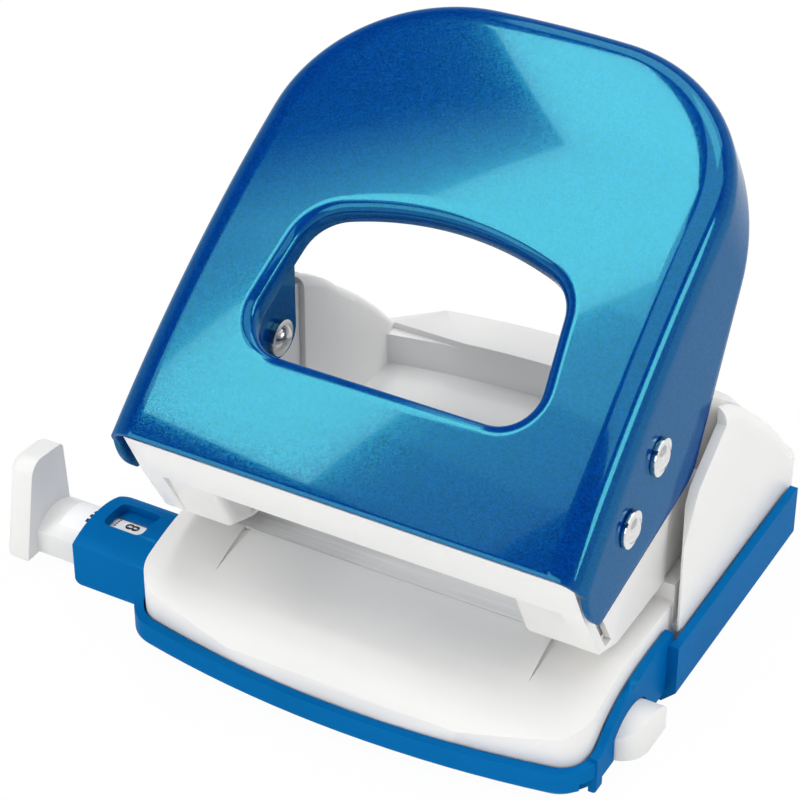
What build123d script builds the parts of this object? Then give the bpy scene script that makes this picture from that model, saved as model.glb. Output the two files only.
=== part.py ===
from build123d import *
import os
from math import atan2, cos, pi, radians, sin, sqrt

# Two-hole paper punch, in millimetres, +Z up, +Y away from the user.
# The origin lies on the table, midway between the two punch axes.

# Paper and holes
HOLE_PITCH = 80.0
HOLE_DIAMETER = 5.5
HOLE_MARGIN = 12.0
SLOT_HEIGHT = 4.6
DIE_TOP = 20.5

# Clearances
RUNNING_FIT = 0.06
SLIDE_GAP = 0.35
SKIN_GAP = 0.1
SWING_GAP = 1.0
CUT_OVERLAP = 1.0

# Lever: a pressed sheet with a curved front panel and turned-back sides
SHEET = 1.2
LEVER_HALF_WIDTH = 51.0
LEVER_SIDE_TAPER = 0.03
PANEL_FOOT_Y = -34.0
PANEL_FOOT_Z = 56.0
PANEL_TOP_Y = 57.2
PANEL_TOP_Z = 115.5
PANEL_CROWN = 5.5
PANEL_TOP_RISE = 4.0
PANEL_CORNER_RADIUS = 36.0
PANEL_RUN_OUT = 40.0
BEND_RADIUS = 6.0
FLANGE_TIP_Y = -25.3
FLANGE_TIP_Z = 40.8
FLANGE_TIP_RADIUS = 2.5
FLANGE_HEEL_Y = 18.5
FLANGE_HEEL_Z = 46.8
FLANGE_HEEL_RADIUS = 8.0
TOP_FLANGE_DEPTH = 5.0
FLANGE_FRONT_BOW = 1.0
OPENING_FOOT = 23.5
OPENING_SHOULDER = 52.5
OPENING_CROWN = 6.0
OPENING_FOOT_HALF_WIDTH = 31.5
OPENING_SHOULDER_HALF_WIDTH = 27.5
OPENING_FOOT_RADIUS = 8.0
OPENING_SHOULDER_RADIUS = 10.0
OPENING_LIP_DEPTH = 5.0
OPENING_EDGE_RADIUS = 1.3
EAR_INNER_X = 32.0
EAR_REACH = 7.0
EAR_BELOW = 5.5
EAR_ROUND = 4.5

# Lever bearings
PIVOT_Y = -12.8
PIVOT_Z = 55.2
PIVOT_DIAMETER = 5.0
DRIVE_Z = 63.3
DRIVE_DIAMETER = 6.0
PIN_WAIST_DIAMETER = 3.4
PIN_WAIST_LENGTH = 2.0
CLIP_HEIGHT = 2.8
RIVET_HEAD_DIAMETER = 7.6
RIVET_HEAD_HEIGHT = 2.0
HEAD_CROWN_SHARE = 0.72
HEAD_STEP_SHARE = 0.45
HEAD_GAP = 0.2
LEVER_SWING = 26.0
WASHER_DIAMETER = 9.0
WASHER_THICKNESS = 0.4

# Bridge: moulded cover over a steel frame
COVER_OUTER_X = 48.3
COVER_REAR_X = 47.7
COVER_STEP_Y = 11.5
COVER_INNER_X = 43.6
COVER_WALL = 2.2
FRAME_SHEET = 1.4
FRAME_OUTER_X = 46.8
FRAME_MARGIN = 1.6
BAND_FOOT_Y = -25.4
BAND_FOOT_Z = 41.2
BAND_TOP_Y = -31.0
BAND_TOP_Z = 52.8
CHEEK_TOE_Y = -18.0
CHEEK_TOE_Z = 28.0
THROAT_LEAD_Y = -10.0
STRIP_INSET = 2.6
STRIP_WIDTH = 2.6
CHEEK_REAR_Y = 27.0
CHEEK_REAR_Z = 57.0
SADDLE_FRONT_Y = -7.0
SADDLE_REAR_Y = 11.0
PIVOT_EAR_RADIUS = 6.6

# Guide blocks and punches
BLOCK_INNER_X = 32.0
BLOCK_REAR_Y = 10.0
BLOCK_TOP_Z = 42.0
BLOCK_FLOOR = 2.4
BLOCK_ROUND = 2.0
END_RECESS = 2.4
PUNCH_BODY_DIAMETER = 7.0
BUSH_WALL = 1.2
BUSH_PLATE = 1.6
BUSH_PLATE_MARGIN = 1.2
PUNCH_HEAD_X = 6.4
PUNCH_HEAD_Y = 15.0
PUNCH_HEAD_BELOW = 6.5
PUNCH_HEAD_ABOVE = 5.5
PIN_SLOT_GAP = 0.45
PUNCH_REST_INSET = 0.3
PUNCH_STEM_LENGTH = 9.0

# Return springs
SPRING_WIRE = 1.0
SPRING_MEAN_DIAMETER = 9.2
SPRING_TURNS = 5
SPRING_SEAT_THICKNESS = 0.8
SPRING_SEAT_DIAMETER = 10.8

# Base shell
DECK_FRONT_Y = -34.0
DECK_FRONT_Z = 7.0
DECK_CREST_Y = -25.0
DECK_CREST_Z = 16.6
DECK_CREST_BULGE = 1.3
DECK_FLAT_Y = -8.0
DECK_HALF_WIDTH = 50.2
DECK_WALL = 2.4
DECK_FRONT_BOW = 6.0
DECK_CORNER_RADIUS = 7.0
BASE_BOTTOM_Z = 4.0
REAR_STEP = 2.2
REAR_END_Y = 78.4
REAR_BOW = 3.4
REAR_CORNER_LENGTH = 5.0
REAR_CORNER_WIDTH = 18.0
CORNER_EDGE_TURN = 37.7
CORNER_EDGE_FALL = 27.0
SHOULDER_WIDTH = 9.9
TROUGH_FLOOR_Z = 17.0
PLATEAU_Z = 26.0
PLATEAU_FRONT_Y = 65.2
PLATEAU_FRONT_BOW = 3.0
SHOULDER_START_Y = 27.6
SHOULDER_TOP_Z = 58.0
SHOULDER_MID_Y = 43.0
SHOULDER_MID_Z = 47.5
SHOULDER_OUTER_ROUND = 3.5
SHOULDER_INNER_ROUND = 2.0
SHOULDER_BULGE = 1.2
SKIRT_TOP_Z = 14.8
REAR_WALL_X = 38.0
REAR_WALL_BOTTOM_Z = 0.8
POCKET_X = 46.6
POCKET_FLOOR_Z = 24.5
POCKET_REAR_Y = 51.0
POCKET_REACH = 30.0
POCKET_KNEE_RISE = 5.0
POCKET_HEAD_RISE = 12.0
POCKET_HEAD_INSET = 2.0
POCKET_WALL = 2.0
WALL_FRONT_Y = 10.5
WALL_FRONT_Z = 36.0
WALL_MID_Y = 16.0
WALL_MID_Z = 46.0
WALL_LEAD = 3.7
WALL_LAND = 0.4
GROOVE_X = 35.2
GROOVE_WIDTH = 2.2
GROOVE_LENGTH = 16.0
GROOVE_DEPTH = 0.9
GROOVE_RUN_IN = 3.0
STOP_WALL = 1.5

# Die plate and screws
DIE_THICKNESS = 1.8
DIE_FRONT_Y = -8.0
DIE_HALF_WIDTH = 45.0
DIE_CORNER_RADIUS = 3.0
FRAME_REAR_Y = 26.0
SCREW_DIAMETER = 3.0
SCREW_HEAD_DIAMETER = 5.6
SCREW_HEAD_HEIGHT = 1.8
SCREW_LENGTH = 8.0
FRAME_SCREW_X = 24.0
FRAME_SCREW_Y = 20.0
BOSS_DIAMETER = 7.0

# Chip tray
TRAY_WALL = 1.8
TRAY_FLOOR = 1.8
TRAY_GAP = 0.4
TRAY_LIP_FRONT_Z = 7.6
TRAY_LIP_SIDE_Z = 16.4
TRAY_RISE_START_Y = -29.5
TRAY_RISE_MID_Y = -18.5
TRAY_RISE_MID_Z = 12.4
TRAY_RISE_END_Y = 0.0
TRAY_FOOT_CHAMFER = 3.0
TRAY_INNER_CHAMFER = 2.0
TRAY_CORNER_RADIUS = 9.2
TRAY_FLOOR_END_Y = 60.0
FINGER_FRONT_Y = -25.2
FINGER_WIDTH = 2.4
FINGER_DEPTH = 1.8
FINGER_BOTTOM_Z = 0.4
FINGER_TOP_Z = 9.0
FINGER_NOTCH = 3.4
FINGER_NOTCH_DEPTH = 4.0
FINGER_NOTCH_Z = 4.6
FINGER_ROUND = 1.0
WING_WALL = 1.8
WING_END_Y = 66.5
WING_FLOOR_END_Y = 64.0
WING_STEP = 2.0
WING_START_Y = 6.0
WING_TOP_Z = 14.4
HINGE_DIAMETER = 3.0
HINGE_Y = 70.2
HINGE_Z = 14.0
HINGE_RING = 3.0
HINGE_ARM_REACH = 24.0
HINGE_ARM_FOOT = 7.0
HINGE_ARM_SHARE = 0.7
HINGE_BAY_X = 30.0
HINGE_BAY_Y = 3.4
HINGE_LUG_WIDTH = 8.0
HINGE_LUG_X = 20.0

# Guide rail and its housing on the tray
RAIL_FRONT_Y = -17.5
RAIL_REAR_Y = -4.0
RAIL_BOTTOM_Z = 2.8
RAIL_SIDE_Z = 8.2
RAIL_TOP_Z = 11.0
RAIL_RIGHT_X = 57.0
RAIL_END_ROUND = 6.0
STOP_FACE_X = -82.0
STOP_THICKNESS = 6.0
STOP_FRONT_Y = -21.5
STOP_REAR_Y = -5.0
STOP_BOTTOM_Z = 2.8
STOP_FRONT_Z = 25.4
STOP_TOP_Z = 24.2
STOP_LEAN = 4.4
STOP_REAR_LEAN = 1.4
STOP_FRONT_ROUND = 3.6
STOP_REAR_ROUND = 1.6
STOP_ROUND = 2.2
STOP_FOOT = 4.0
HOUSING_LEFT_X = -70.5
HOUSING_FRONT_Y = -21.0
HOUSING_REAR_Y = -1.6
HOUSING_FRONT_Z = 11.4
HOUSING_BOTTOM_Z = 1.2
HOUSING_TOP_Z = 13.8
WINDOW_LEFT_X = -67.5
WINDOW_RIGHT_X = -58.0
WINDOW_MARGIN_Y = 3.2
WINDOW_ROUND = 1.5
HOUSING_FOOT_ROUND = 1.5
HOUSING_CORNER_ROUND = 2.4
LABEL_THICKNESS = 0.3
LABEL_MARGIN = 2.4
LABEL_END_X = -30.0

# Derived places
PUNCH_X = HOLE_PITCH / 2
BLOCK_BOTTOM_Z = DIE_TOP + SLOT_HEIGHT
PANEL_LENGTH = sqrt((PANEL_TOP_Y - PANEL_FOOT_Y) ** 2 + (PANEL_TOP_Z - PANEL_FOOT_Z) ** 2)
PANEL_TILT = atan2(PANEL_TOP_Z - PANEL_FOOT_Z, PANEL_TOP_Y - PANEL_FOOT_Y)
PANEL_RADIUS = (PANEL_LENGTH ** 2 / 4 + PANEL_CROWN ** 2) / (2 * PANEL_CROWN)
PANEL_NORMAL = Vector(0, -sin(PANEL_TILT), cos(PANEL_TILT))
PANEL_PLANE = Plane(
    origin=(0, PANEL_FOOT_Y, PANEL_FOOT_Z), x_dir=(1, 0, 0), z_dir=PANEL_NORMAL
)
DRIVE_ARM = sqrt(PIVOT_Y ** 2 + (DRIVE_Z - PIVOT_Z) ** 2)
DRIVE_ANGLE = atan2(DRIVE_Z - PIVOT_Z, -PIVOT_Y)
PUNCH_STROKE = DRIVE_ARM * (sin(DRIVE_ANGLE) - sin(DRIVE_ANGLE - radians(LEVER_SWING)))
PIN_SHIFT = DRIVE_ARM * (1 - cos(DRIVE_ANGLE))
PUNCH_TIP_Z = BLOCK_BOTTOM_Z + PUNCH_REST_INSET
PUNCH_HEAD_Z = DRIVE_Z - PUNCH_HEAD_BELOW
BUSH_BOTTOM_Z = BLOCK_BOTTOM_Z + BLOCK_FLOOR
BUSH_OUTER_DIAMETER = PUNCH_BODY_DIAMETER + 2 * RUNNING_FIT + 2 * BUSH_WALL
REAR_HALF_WIDTH = DECK_HALF_WIDTH + REAR_STEP
TROUGH_HALF_WIDTH = REAR_HALF_WIDTH - SHOULDER_WIDTH
TRAY_HALF_WIDTH = DECK_HALF_WIDTH + TRAY_GAP + TRAY_WALL
TRAY_FRONT_Y = DECK_FRONT_Y - TRAY_GAP - TRAY_WALL
WING_INNER_X = REAR_HALF_WIDTH + TRAY_GAP
WING_OUTER_X = WING_INNER_X + WING_WALL
SHOULDER_END_Y = REAR_END_Y - REAR_BOW
FAR = 200.0


def side_prism(outline, x_start, x_end):
    """Solid from a side-view outline in Y and Z, between two places along X."""
    face = Plane.YZ.offset(x_start) * make_face(outline)
    return extrude(face, amount=x_end - x_start, dir=(1, 0, 0))


def plan_prism(outline, z_start, z_end):
    """Solid from a plan outline in X and Y, between two heights."""
    return extrude(Pos(0, 0, z_start) * outline, amount=z_end - z_start, dir=(0, 0, 1))


def box_between(x_range, y_range, z_range):
    """Box given by its limits along each axis."""
    size = [high - low for low, high in (x_range, y_range, z_range)]
    centre = [(high + low) / 2 for low, high in (x_range, y_range, z_range)]
    return Pos(*centre) * Box(*size)


def rod_along_x(diameter, x_start, x_end, y, z):
    """Round bar along X."""
    bar = Rot(0, 90, 0) * Cylinder(diameter / 2, x_end - x_start)
    return Pos((x_start + x_end) / 2, y, z) * bar


def both_sides(solid):
    """The solid with its mirror image across the middle plane."""
    return solid + mirror(solid, about=Plane.YZ)


# Lever


def panel_outline(inset):
    """Arched outline of the lever panel, in the panel's own plane."""
    low = -PANEL_RUN_OUT
    foot = LEVER_HALF_WIDTH - LEVER_SIDE_TAPER * low - inset
    head_length = PANEL_LENGTH - PANEL_TOP_RISE
    head = LEVER_HALF_WIDTH - LEVER_SIDE_TAPER * head_length - inset
    sides = Polyline((-head, head_length - inset), (-foot, low), (foot, low), (head, head_length - inset))
    crown = ThreePointArc(sides @ 1, (0, PANEL_LENGTH - inset), sides @ 0)
    face = make_face(sides + crown)
    corners = face.vertices().sort_by(Axis.Y)[-2:]
    return fillet(corners, PANEL_CORNER_RADIUS - inset)


def panel_cylinder(inset):
    """Large cylinder whose skin carries the curved lever panel."""
    middle = PANEL_PLANE.from_local_coords((0, PANEL_LENGTH / 2, PANEL_CROWN - PANEL_RADIUS))
    bar = Rot(0, 90, 0) * Cylinder(PANEL_RADIUS - inset, 2 * FAR)
    return Pos(*middle) * bar


def panel_block(inset):
    """Pan-shaped block under the panel, with its rounded bend."""
    prism = extrude(PANEL_PLANE * panel_outline(inset), amount=FAR / 2, both=True)
    block = prism & panel_cylinder(inset)
    skin = block.faces().filter_by(GeomType.CYLINDER).sort_by(SortBy.AREA)[-1]
    rim = skin.edges().sort_by(Axis.Y)[1:]
    return fillet(rim, BEND_RADIUS - inset)


def opening_outline(grow):
    """Outline of the hand opening, in the panel's own plane."""
    foot = OPENING_FOOT_HALF_WIDTH
    shoulder = OPENING_SHOULDER_HALF_WIDTH
    sides = Polyline(
        (-shoulder, OPENING_SHOULDER), (-foot, OPENING_FOOT), (foot, OPENING_FOOT), (shoulder, OPENING_SHOULDER)
    )
    crown = ThreePointArc(sides @ 1, (0, OPENING_SHOULDER + OPENING_CROWN), sides @ 0)
    face = make_face(sides + crown)
    low = face.vertices().sort_by(Axis.Y)[:2]
    face = fillet(low, OPENING_FOOT_RADIUS)
    high = face.vertices().sort_by(Axis.Y)[-2:]
    face = fillet(high, OPENING_SHOULDER_RADIUS)
    if grow > 0:
        face = offset(face, amount=grow)
    return face


def pan_with_opening(inset):
    """Pan-shaped block with the hand opening cut through and its edge rounded."""
    tunnel = extrude(PANEL_PLANE * opening_outline(inset), amount=FAR / 2, both=True)
    pan = panel_block(inset) - tunnel
    skin = pan.faces().filter_by(GeomType.CYLINDER).sort_by(SortBy.AREA)[-1]
    return fillet(skin.inner_wires()[0].edges(), OPENING_EDGE_RADIUS + inset)


def flange_region():
    """Side-view region that keeps the lever sides, from tip to top."""
    far = PANEL_NORMAL * FAR
    top = Vector(0, PANEL_TOP_Y, PANEL_TOP_Z) - PANEL_NORMAL * TOP_FLANGE_DEPTH
    heel = Vector(0, FLANGE_HEEL_Y, FLANGE_HEEL_Z)
    beyond = top + (top - heel)
    foot = Vector(0, PANEL_FOOT_Y, PANEL_FOOT_Z)
    tip = Vector(0, FLANGE_TIP_Y, FLANGE_TIP_Z)
    front = (foot + tip) * 0.5 + Vector(0, -cos(PANEL_TILT), -sin(PANEL_TILT)) * FLANGE_FRONT_BOW
    path = [tip, heel, beyond, beyond + far, foot + far, foot]
    lines = Polyline(*[(p.Y, p.Z) for p in path])
    bow = ThreePointArc((foot.Y, foot.Z), (front.Y, front.Z), (tip.Y, tip.Z))
    face = make_face(lines + bow)
    heel_corner = face.vertices().sort_by_distance((heel.Y, heel.Z, 0))[0]
    face = fillet(heel_corner, FLANGE_HEEL_RADIUS)
    tip_corner = face.vertices().sort_by_distance((tip.Y, tip.Z, 0))[0]
    return fillet(tip_corner, FLANGE_TIP_RADIUS)


def lever_ear():
    """Right ear under the panel, beside the hand opening, that steadies a drive pin."""
    blade = box_between(
        (EAR_INNER_X, EAR_INNER_X + SHEET), (-EAR_REACH, EAR_REACH), (DRIVE_Z - EAR_BELOW, FAR)
    )
    foot = blade.edges().filter_by(Axis.X).group_by(Axis.Z)[0]
    return fillet(foot, EAR_ROUND) & panel_block(SHEET / 2)


def lever_shell():
    """Pressed lever: panel, turned sides, hand opening with a rolled lip, rivet holes."""
    outer = pan_with_opening(0)
    deep = panel_block(SHEET) & panel_cylinder(OPENING_LIP_DEPTH)
    inner = pan_with_opening(SHEET) + deep
    region = extrude(Plane.YZ.offset(-FAR) * flange_region(), amount=2 * FAR, dir=(1, 0, 0))
    sheet = (outer - inner) & region
    sheet = sheet + both_sides(lever_ear())
    sheet = sheet - extrude(PANEL_PLANE * opening_outline(0), amount=FAR / 4, both=True)
    for diameter, y, z in ((PIVOT_DIAMETER, PIVOT_Y, PIVOT_Z), (DRIVE_DIAMETER, 0, DRIVE_Z)):
        sheet = sheet - rod_along_x(diameter, -FAR, FAR, y, z)
    return sheet


def rivet_head(diameter, height):
    """Stepped, domed rivet head standing on the plane Z = 0."""
    rim = diameter / 2
    crown = rim * HEAD_CROWN_SHARE
    step = height * HEAD_STEP_SHARE
    rise = height - step
    ball = (crown ** 2 + rise ** 2) / (2 * rise)
    half = atan2(crown, ball - rise) / 2
    profile = Polyline((0, height), (0, 0), (rim, 0), (rim, step), (crown, step))
    dome = ThreePointArc(
        profile @ 1, (ball * sin(half), height - ball + ball * cos(half)), profile @ 0
    )
    return revolve(Plane.XZ * make_face(profile + dome), axis=Axis.Z)


def side_x(y, z):
    """Outer X of the lever side at a place in the side view."""
    along = (y - PANEL_FOOT_Y) * cos(PANEL_TILT) + (z - PANEL_FOOT_Z) * sin(PANEL_TILT)
    return LEVER_HALF_WIDTH - LEVER_SIDE_TAPER * along


def pivot_rivets():
    """Two rivets through the lever sides and the frame, on which the lever turns."""
    outer = side_x(PIVOT_Y, PIVOT_Z)
    inner = COVER_INNER_X - SLIDE_GAP
    shank = rod_along_x(PIVOT_DIAMETER, inner, outer, PIVOT_Y, PIVOT_Z)
    head = Pos(outer + HEAD_GAP, PIVOT_Y, PIVOT_Z) * Rot(0, 90, 0) * rivet_head(RIVET_HEAD_DIAMETER, RIVET_HEAD_HEIGHT)
    neck = rod_along_x(PIVOT_DIAMETER, outer, outer + 2 * HEAD_GAP, PIVOT_Y, PIVOT_Z)
    tail = Pos(inner, PIVOT_Y, PIVOT_Z) * Rot(0, -90, 0) * rivet_head(RIVET_HEAD_DIAMETER, RIVET_HEAD_HEIGHT / 2)
    return both_sides(shank + neck + head + tail)


def drive_pins():
    """Two stub pins fixed in the lever sides, each passing through one punch head."""
    outer = side_x(0, DRIVE_Z)
    shank = rod_along_x(DRIVE_DIAMETER, EAR_INNER_X, outer + 2 * HEAD_GAP, 0, DRIVE_Z)
    waist = rod_along_x(PIN_WAIST_DIAMETER, EAR_INNER_X - PIN_WAIST_LENGTH, EAR_INNER_X, 0, DRIVE_Z)
    head = Pos(outer + HEAD_GAP, 0, DRIVE_Z) * Rot(0, 90, 0) * rivet_head(RIVET_HEAD_DIAMETER, RIVET_HEAD_HEIGHT)
    return both_sides(shank + waist + head)


def drive_clips():
    """Stepped caps on the inner ends of the drive pins."""
    cap = Pos(EAR_INNER_X, 0, DRIVE_Z) * Rot(0, -90, 0) * rivet_head(RIVET_HEAD_DIAMETER, CLIP_HEIGHT)
    socket = rod_along_x(PIN_WAIST_DIAMETER, EAR_INNER_X - PIN_WAIST_LENGTH, EAR_INNER_X, 0, DRIVE_Z)
    return both_sides(cap - socket)


# Bridge


def cheek_face():
    """Side-view face of the inner cheek, with the ear round the pivot and the saddle."""
    front = Polyline(
        (HOLE_MARGIN + SLIDE_GAP, BLOCK_BOTTOM_Z),
        (THROAT_LEAD_Y, BLOCK_BOTTOM_Z),
        (CHEEK_TOE_Y, CHEEK_TOE_Z),
        (BAND_FOOT_Y, BAND_FOOT_Z),
        (BAND_TOP_Y, BAND_TOP_Z),
        (PIVOT_Y - PIVOT_EAR_RADIUS, PIVOT_Z),
    )
    ear = ThreePointArc(
        front @ 1, (PIVOT_Y, PIVOT_Z + PIVOT_EAR_RADIUS), (PIVOT_Y + PIVOT_EAR_RADIUS, PIVOT_Z)
    )
    rear = Polyline(
        ear @ 1,
        (SADDLE_FRONT_Y, BLOCK_TOP_Z),
        (SADDLE_REAR_Y, BLOCK_TOP_Z),
        (CHEEK_REAR_Y - PIVOT_EAR_RADIUS, CHEEK_REAR_Z),
        (CHEEK_REAR_Y, CHEEK_REAR_Z),
        (CHEEK_REAR_Y, POCKET_FLOOR_Z),
        (HOLE_MARGIN + SLIDE_GAP, POCKET_FLOOR_Z),
        front @ 0,
    )
    return make_face(front + ear + rear)


def skin_face():
    """Side-view face of the outer skin of a cheek, level behind the pivot ear."""
    front = Polyline(
        (CHEEK_REAR_Y, POCKET_FLOOR_Z + SLIDE_GAP),
        (HOLE_MARGIN, BLOCK_BOTTOM_Z),
        (THROAT_LEAD_Y, BLOCK_BOTTOM_Z),
        (CHEEK_TOE_Y, CHEEK_TOE_Z),
        (BAND_FOOT_Y, BAND_FOOT_Z),
        (BAND_TOP_Y, BAND_TOP_Z),
        (PIVOT_Y - PIVOT_EAR_RADIUS, PIVOT_Z),
    )
    ear = ThreePointArc(
        front @ 1, (PIVOT_Y, PIVOT_Z + PIVOT_EAR_RADIUS), (PIVOT_Y + PIVOT_EAR_RADIUS, PIVOT_Z)
    )
    rear = Polyline(
        ear @ 1,
        (SADDLE_FRONT_Y, BLOCK_TOP_Z),
        (CHEEK_REAR_Y, BLOCK_TOP_Z),
        front @ 0,
    )
    return make_face(front + ear + rear)


def frame_plate_face():
    """Side-view face of a steel side plate."""
    ear = PIVOT_EAR_RADIUS - FRAME_MARGIN
    front = Polyline(
        (HOLE_MARGIN + STOP_WALL + SLIDE_GAP, CHEEK_TOE_Z + FRAME_MARGIN),
        (CHEEK_TOE_Y + FRAME_MARGIN, CHEEK_TOE_Z + FRAME_MARGIN),
        (BAND_FOOT_Y + 2 * FRAME_MARGIN, BAND_FOOT_Z - FRAME_MARGIN),
        (PIVOT_Y - ear, PIVOT_Z),
    )
    crown = ThreePointArc(front @ 1, (PIVOT_Y, PIVOT_Z + ear), (PIVOT_Y + ear, PIVOT_Z))
    rear = Polyline(
        crown @ 1,
        (SADDLE_FRONT_Y - FRAME_MARGIN, BLOCK_TOP_Z - FRAME_MARGIN),
        (FRAME_REAR_Y, BLOCK_TOP_Z - FRAME_MARGIN),
        (FRAME_REAR_Y, TROUGH_FLOOR_Z),
        (HOLE_MARGIN + STOP_WALL + SLIDE_GAP, TROUGH_FLOOR_Z),
        front @ 0,
    )
    return make_face(front + crown + rear)


def face_prism(face, x_start, x_end):
    """Solid from a ready side-view face, between two places along X."""
    return extrude(Plane.YZ.offset(x_start) * face, amount=x_end - x_start, dir=(1, 0, 0))


def guide_block():
    """Right guide block with a slanted front, a lead-in below and a recessed inner end."""
    side = Polyline(
        (BLOCK_REAR_Y, BLOCK_BOTTOM_Z),
        (THROAT_LEAD_Y, BLOCK_BOTTOM_Z),
        (CHEEK_TOE_Y, CHEEK_TOE_Z),
        (BAND_FOOT_Y + COVER_WALL / 2, BAND_FOOT_Z),
        (BAND_FOOT_Y + COVER_WALL / 2, BLOCK_TOP_Z),
        (BLOCK_REAR_Y, BLOCK_TOP_Z),
        close=True,
    )
    block = side_prism(side, BLOCK_INNER_X, COVER_INNER_X + SKIN_GAP)
    rim = block.faces().sort_by(Axis.X)[0].edges().sort_by(Axis.Z)[:-2]
    block = fillet(rim, BLOCK_ROUND)
    recess = box_between(
        (BLOCK_INNER_X - CUT_OVERLAP, BLOCK_INNER_X + END_RECESS),
        (THROAT_LEAD_Y - BLOCK_ROUND, BLOCK_REAR_Y - BLOCK_ROUND),
        (BUSH_BOTTOM_Z, BLOCK_TOP_Z - BLOCK_FLOOR),
    )
    return block - recess


def bush_plate(grow):
    """Square plate at the foot of a guide bush."""
    plate = box_between(
        (BLOCK_INNER_X + BUSH_PLATE_MARGIN - grow, COVER_INNER_X - BUSH_PLATE_MARGIN + grow),
        (THROAT_LEAD_Y + BUSH_PLATE_MARGIN - grow, BLOCK_REAR_Y - BUSH_PLATE_MARGIN + grow),
        (BUSH_BOTTOM_Z, BUSH_BOTTOM_Z + BUSH_PLATE + grow),
    )
    return fillet(plate.edges().filter_by(Axis.Z), BLOCK_ROUND)


def bridge_frame():
    """Steel frame: two side plates that carry the pivots, joined by a cross plate."""
    plate = face_prism(frame_plate_face(), FRAME_OUTER_X - FRAME_SHEET, FRAME_OUTER_X)
    plate = plate - rod_along_x(PIVOT_DIAMETER + 2 * RUNNING_FIT, 0, FAR, PIVOT_Y, PIVOT_Z)
    cross = box_between(
        (-FRAME_OUTER_X, FRAME_OUTER_X),
        (HOLE_MARGIN + STOP_WALL + SLIDE_GAP, FRAME_REAR_Y),
        (TROUGH_FLOOR_Z, TROUGH_FLOOR_Z + FRAME_SHEET),
    )
    frame = both_sides(plate) + cross
    for x in (-FRAME_SCREW_X, FRAME_SCREW_X):
        frame = frame - Pos(x, FRAME_SCREW_Y, TROUGH_FLOOR_Z) * Cylinder(
            SCREW_DIAMETER / 2 + SKIN_GAP, 4 * FRAME_SHEET
        )
    return frame


def steel_strip():
    """Slanted window in the skin behind the front wall, through which the frame shows."""
    front = STRIP_INSET
    rear = STRIP_INSET + STRIP_WIDTH
    outline = Polyline(
        (BAND_FOOT_Y + front, BAND_FOOT_Z),
        (CHEEK_TOE_Y + front, CHEEK_TOE_Z),
        (CHEEK_TOE_Y + rear, CHEEK_TOE_Z),
        (BAND_FOOT_Y + rear, BAND_FOOT_Z),
        close=True,
    )
    return side_prism(outline, FRAME_OUTER_X, FAR)


def bridge_cover():
    """White cover: front band, cheeks with a slot for the steel plates, guide blocks."""
    slot_inner = FRAME_OUTER_X - FRAME_SHEET - SKIN_GAP
    slot_outer = FRAME_OUTER_X + SKIN_GAP
    cheek = face_prism(cheek_face(), COVER_INNER_X, slot_inner)
    skin = face_prism(skin_face(), slot_outer, COVER_OUTER_X)
    skin = skin - box_between((COVER_REAR_X, FAR), (COVER_STEP_Y, FAR), (0, FAR)) - steel_strip()
    rim = face_prism(skin_face(), slot_inner, slot_outer)
    plate = face_prism(offset(frame_plate_face(), amount=SKIN_GAP), slot_inner, slot_outer)
    cover = cheek + skin + (rim - plate)
    cover = cover + guide_block()
    height = BLOCK_TOP_Z - BUSH_BOTTOM_Z
    well = Pos(PUNCH_X, 0, BUSH_BOTTOM_Z + height / 2) * Cylinder(BUSH_OUTER_DIAMETER / 2, height)
    exit_hole = Pos(PUNCH_X, 0, BLOCK_BOTTOM_Z) * Cylinder(HOLE_DIAMETER / 2 + SLIDE_GAP, 4 * BLOCK_FLOOR)
    cover = cover - well - exit_hole - bush_plate(SKIN_GAP)
    cover = cover - rod_along_x(PIVOT_DIAMETER + 2 * SLIDE_GAP, 0, FAR, PIVOT_Y, PIVOT_Z)
    band = side_prism(
        Polyline(
            (BAND_FOOT_Y, BAND_FOOT_Z),
            (BAND_TOP_Y, BAND_TOP_Z),
            (BAND_TOP_Y + COVER_WALL, BAND_TOP_Z),
            (BAND_FOOT_Y + COVER_WALL, BAND_FOOT_Z),
            close=True,
        ),
        -COVER_INNER_X,
        COVER_INNER_X,
    )
    return both_sides(cover) + band


def guide_bush(side):
    """Steel bush that guides one punch, with a square plate at its foot."""
    height = BLOCK_TOP_Z - BUSH_BOTTOM_Z
    sleeve = Pos(PUNCH_X, 0, BUSH_BOTTOM_Z + height / 2) * Cylinder(BUSH_OUTER_DIAMETER / 2, height)
    bore = Pos(PUNCH_X, 0, BUSH_BOTTOM_Z + height / 2) * Cylinder(
        PUNCH_BODY_DIAMETER / 2 + RUNNING_FIT, 2 * height
    )
    bush = sleeve + bush_plate(0) - bore
    return bush if side > 0 else mirror(bush, about=Plane.YZ)


# Punches


def punch(side):
    """Cutting pin with a hollow-ground tip and a thicker guided body."""
    stem_top = PUNCH_TIP_Z + PUNCH_STEM_LENGTH
    stem = Pos(0, 0, (PUNCH_TIP_Z + stem_top) / 2) * Cylinder(HOLE_DIAMETER / 2, PUNCH_STEM_LENGTH)
    body_length = PUNCH_HEAD_Z - stem_top
    body = Pos(0, 0, stem_top + body_length / 2) * Cylinder(PUNCH_BODY_DIAMETER / 2, body_length)
    hollow = Pos(0, 0, PUNCH_TIP_Z) * Rot(90, 0, 0) * Cylinder(HOLE_DIAMETER / 3, HOLE_DIAMETER * 2)
    return Pos(side * PUNCH_X, 0, 0) * (stem + body - hollow)


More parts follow.
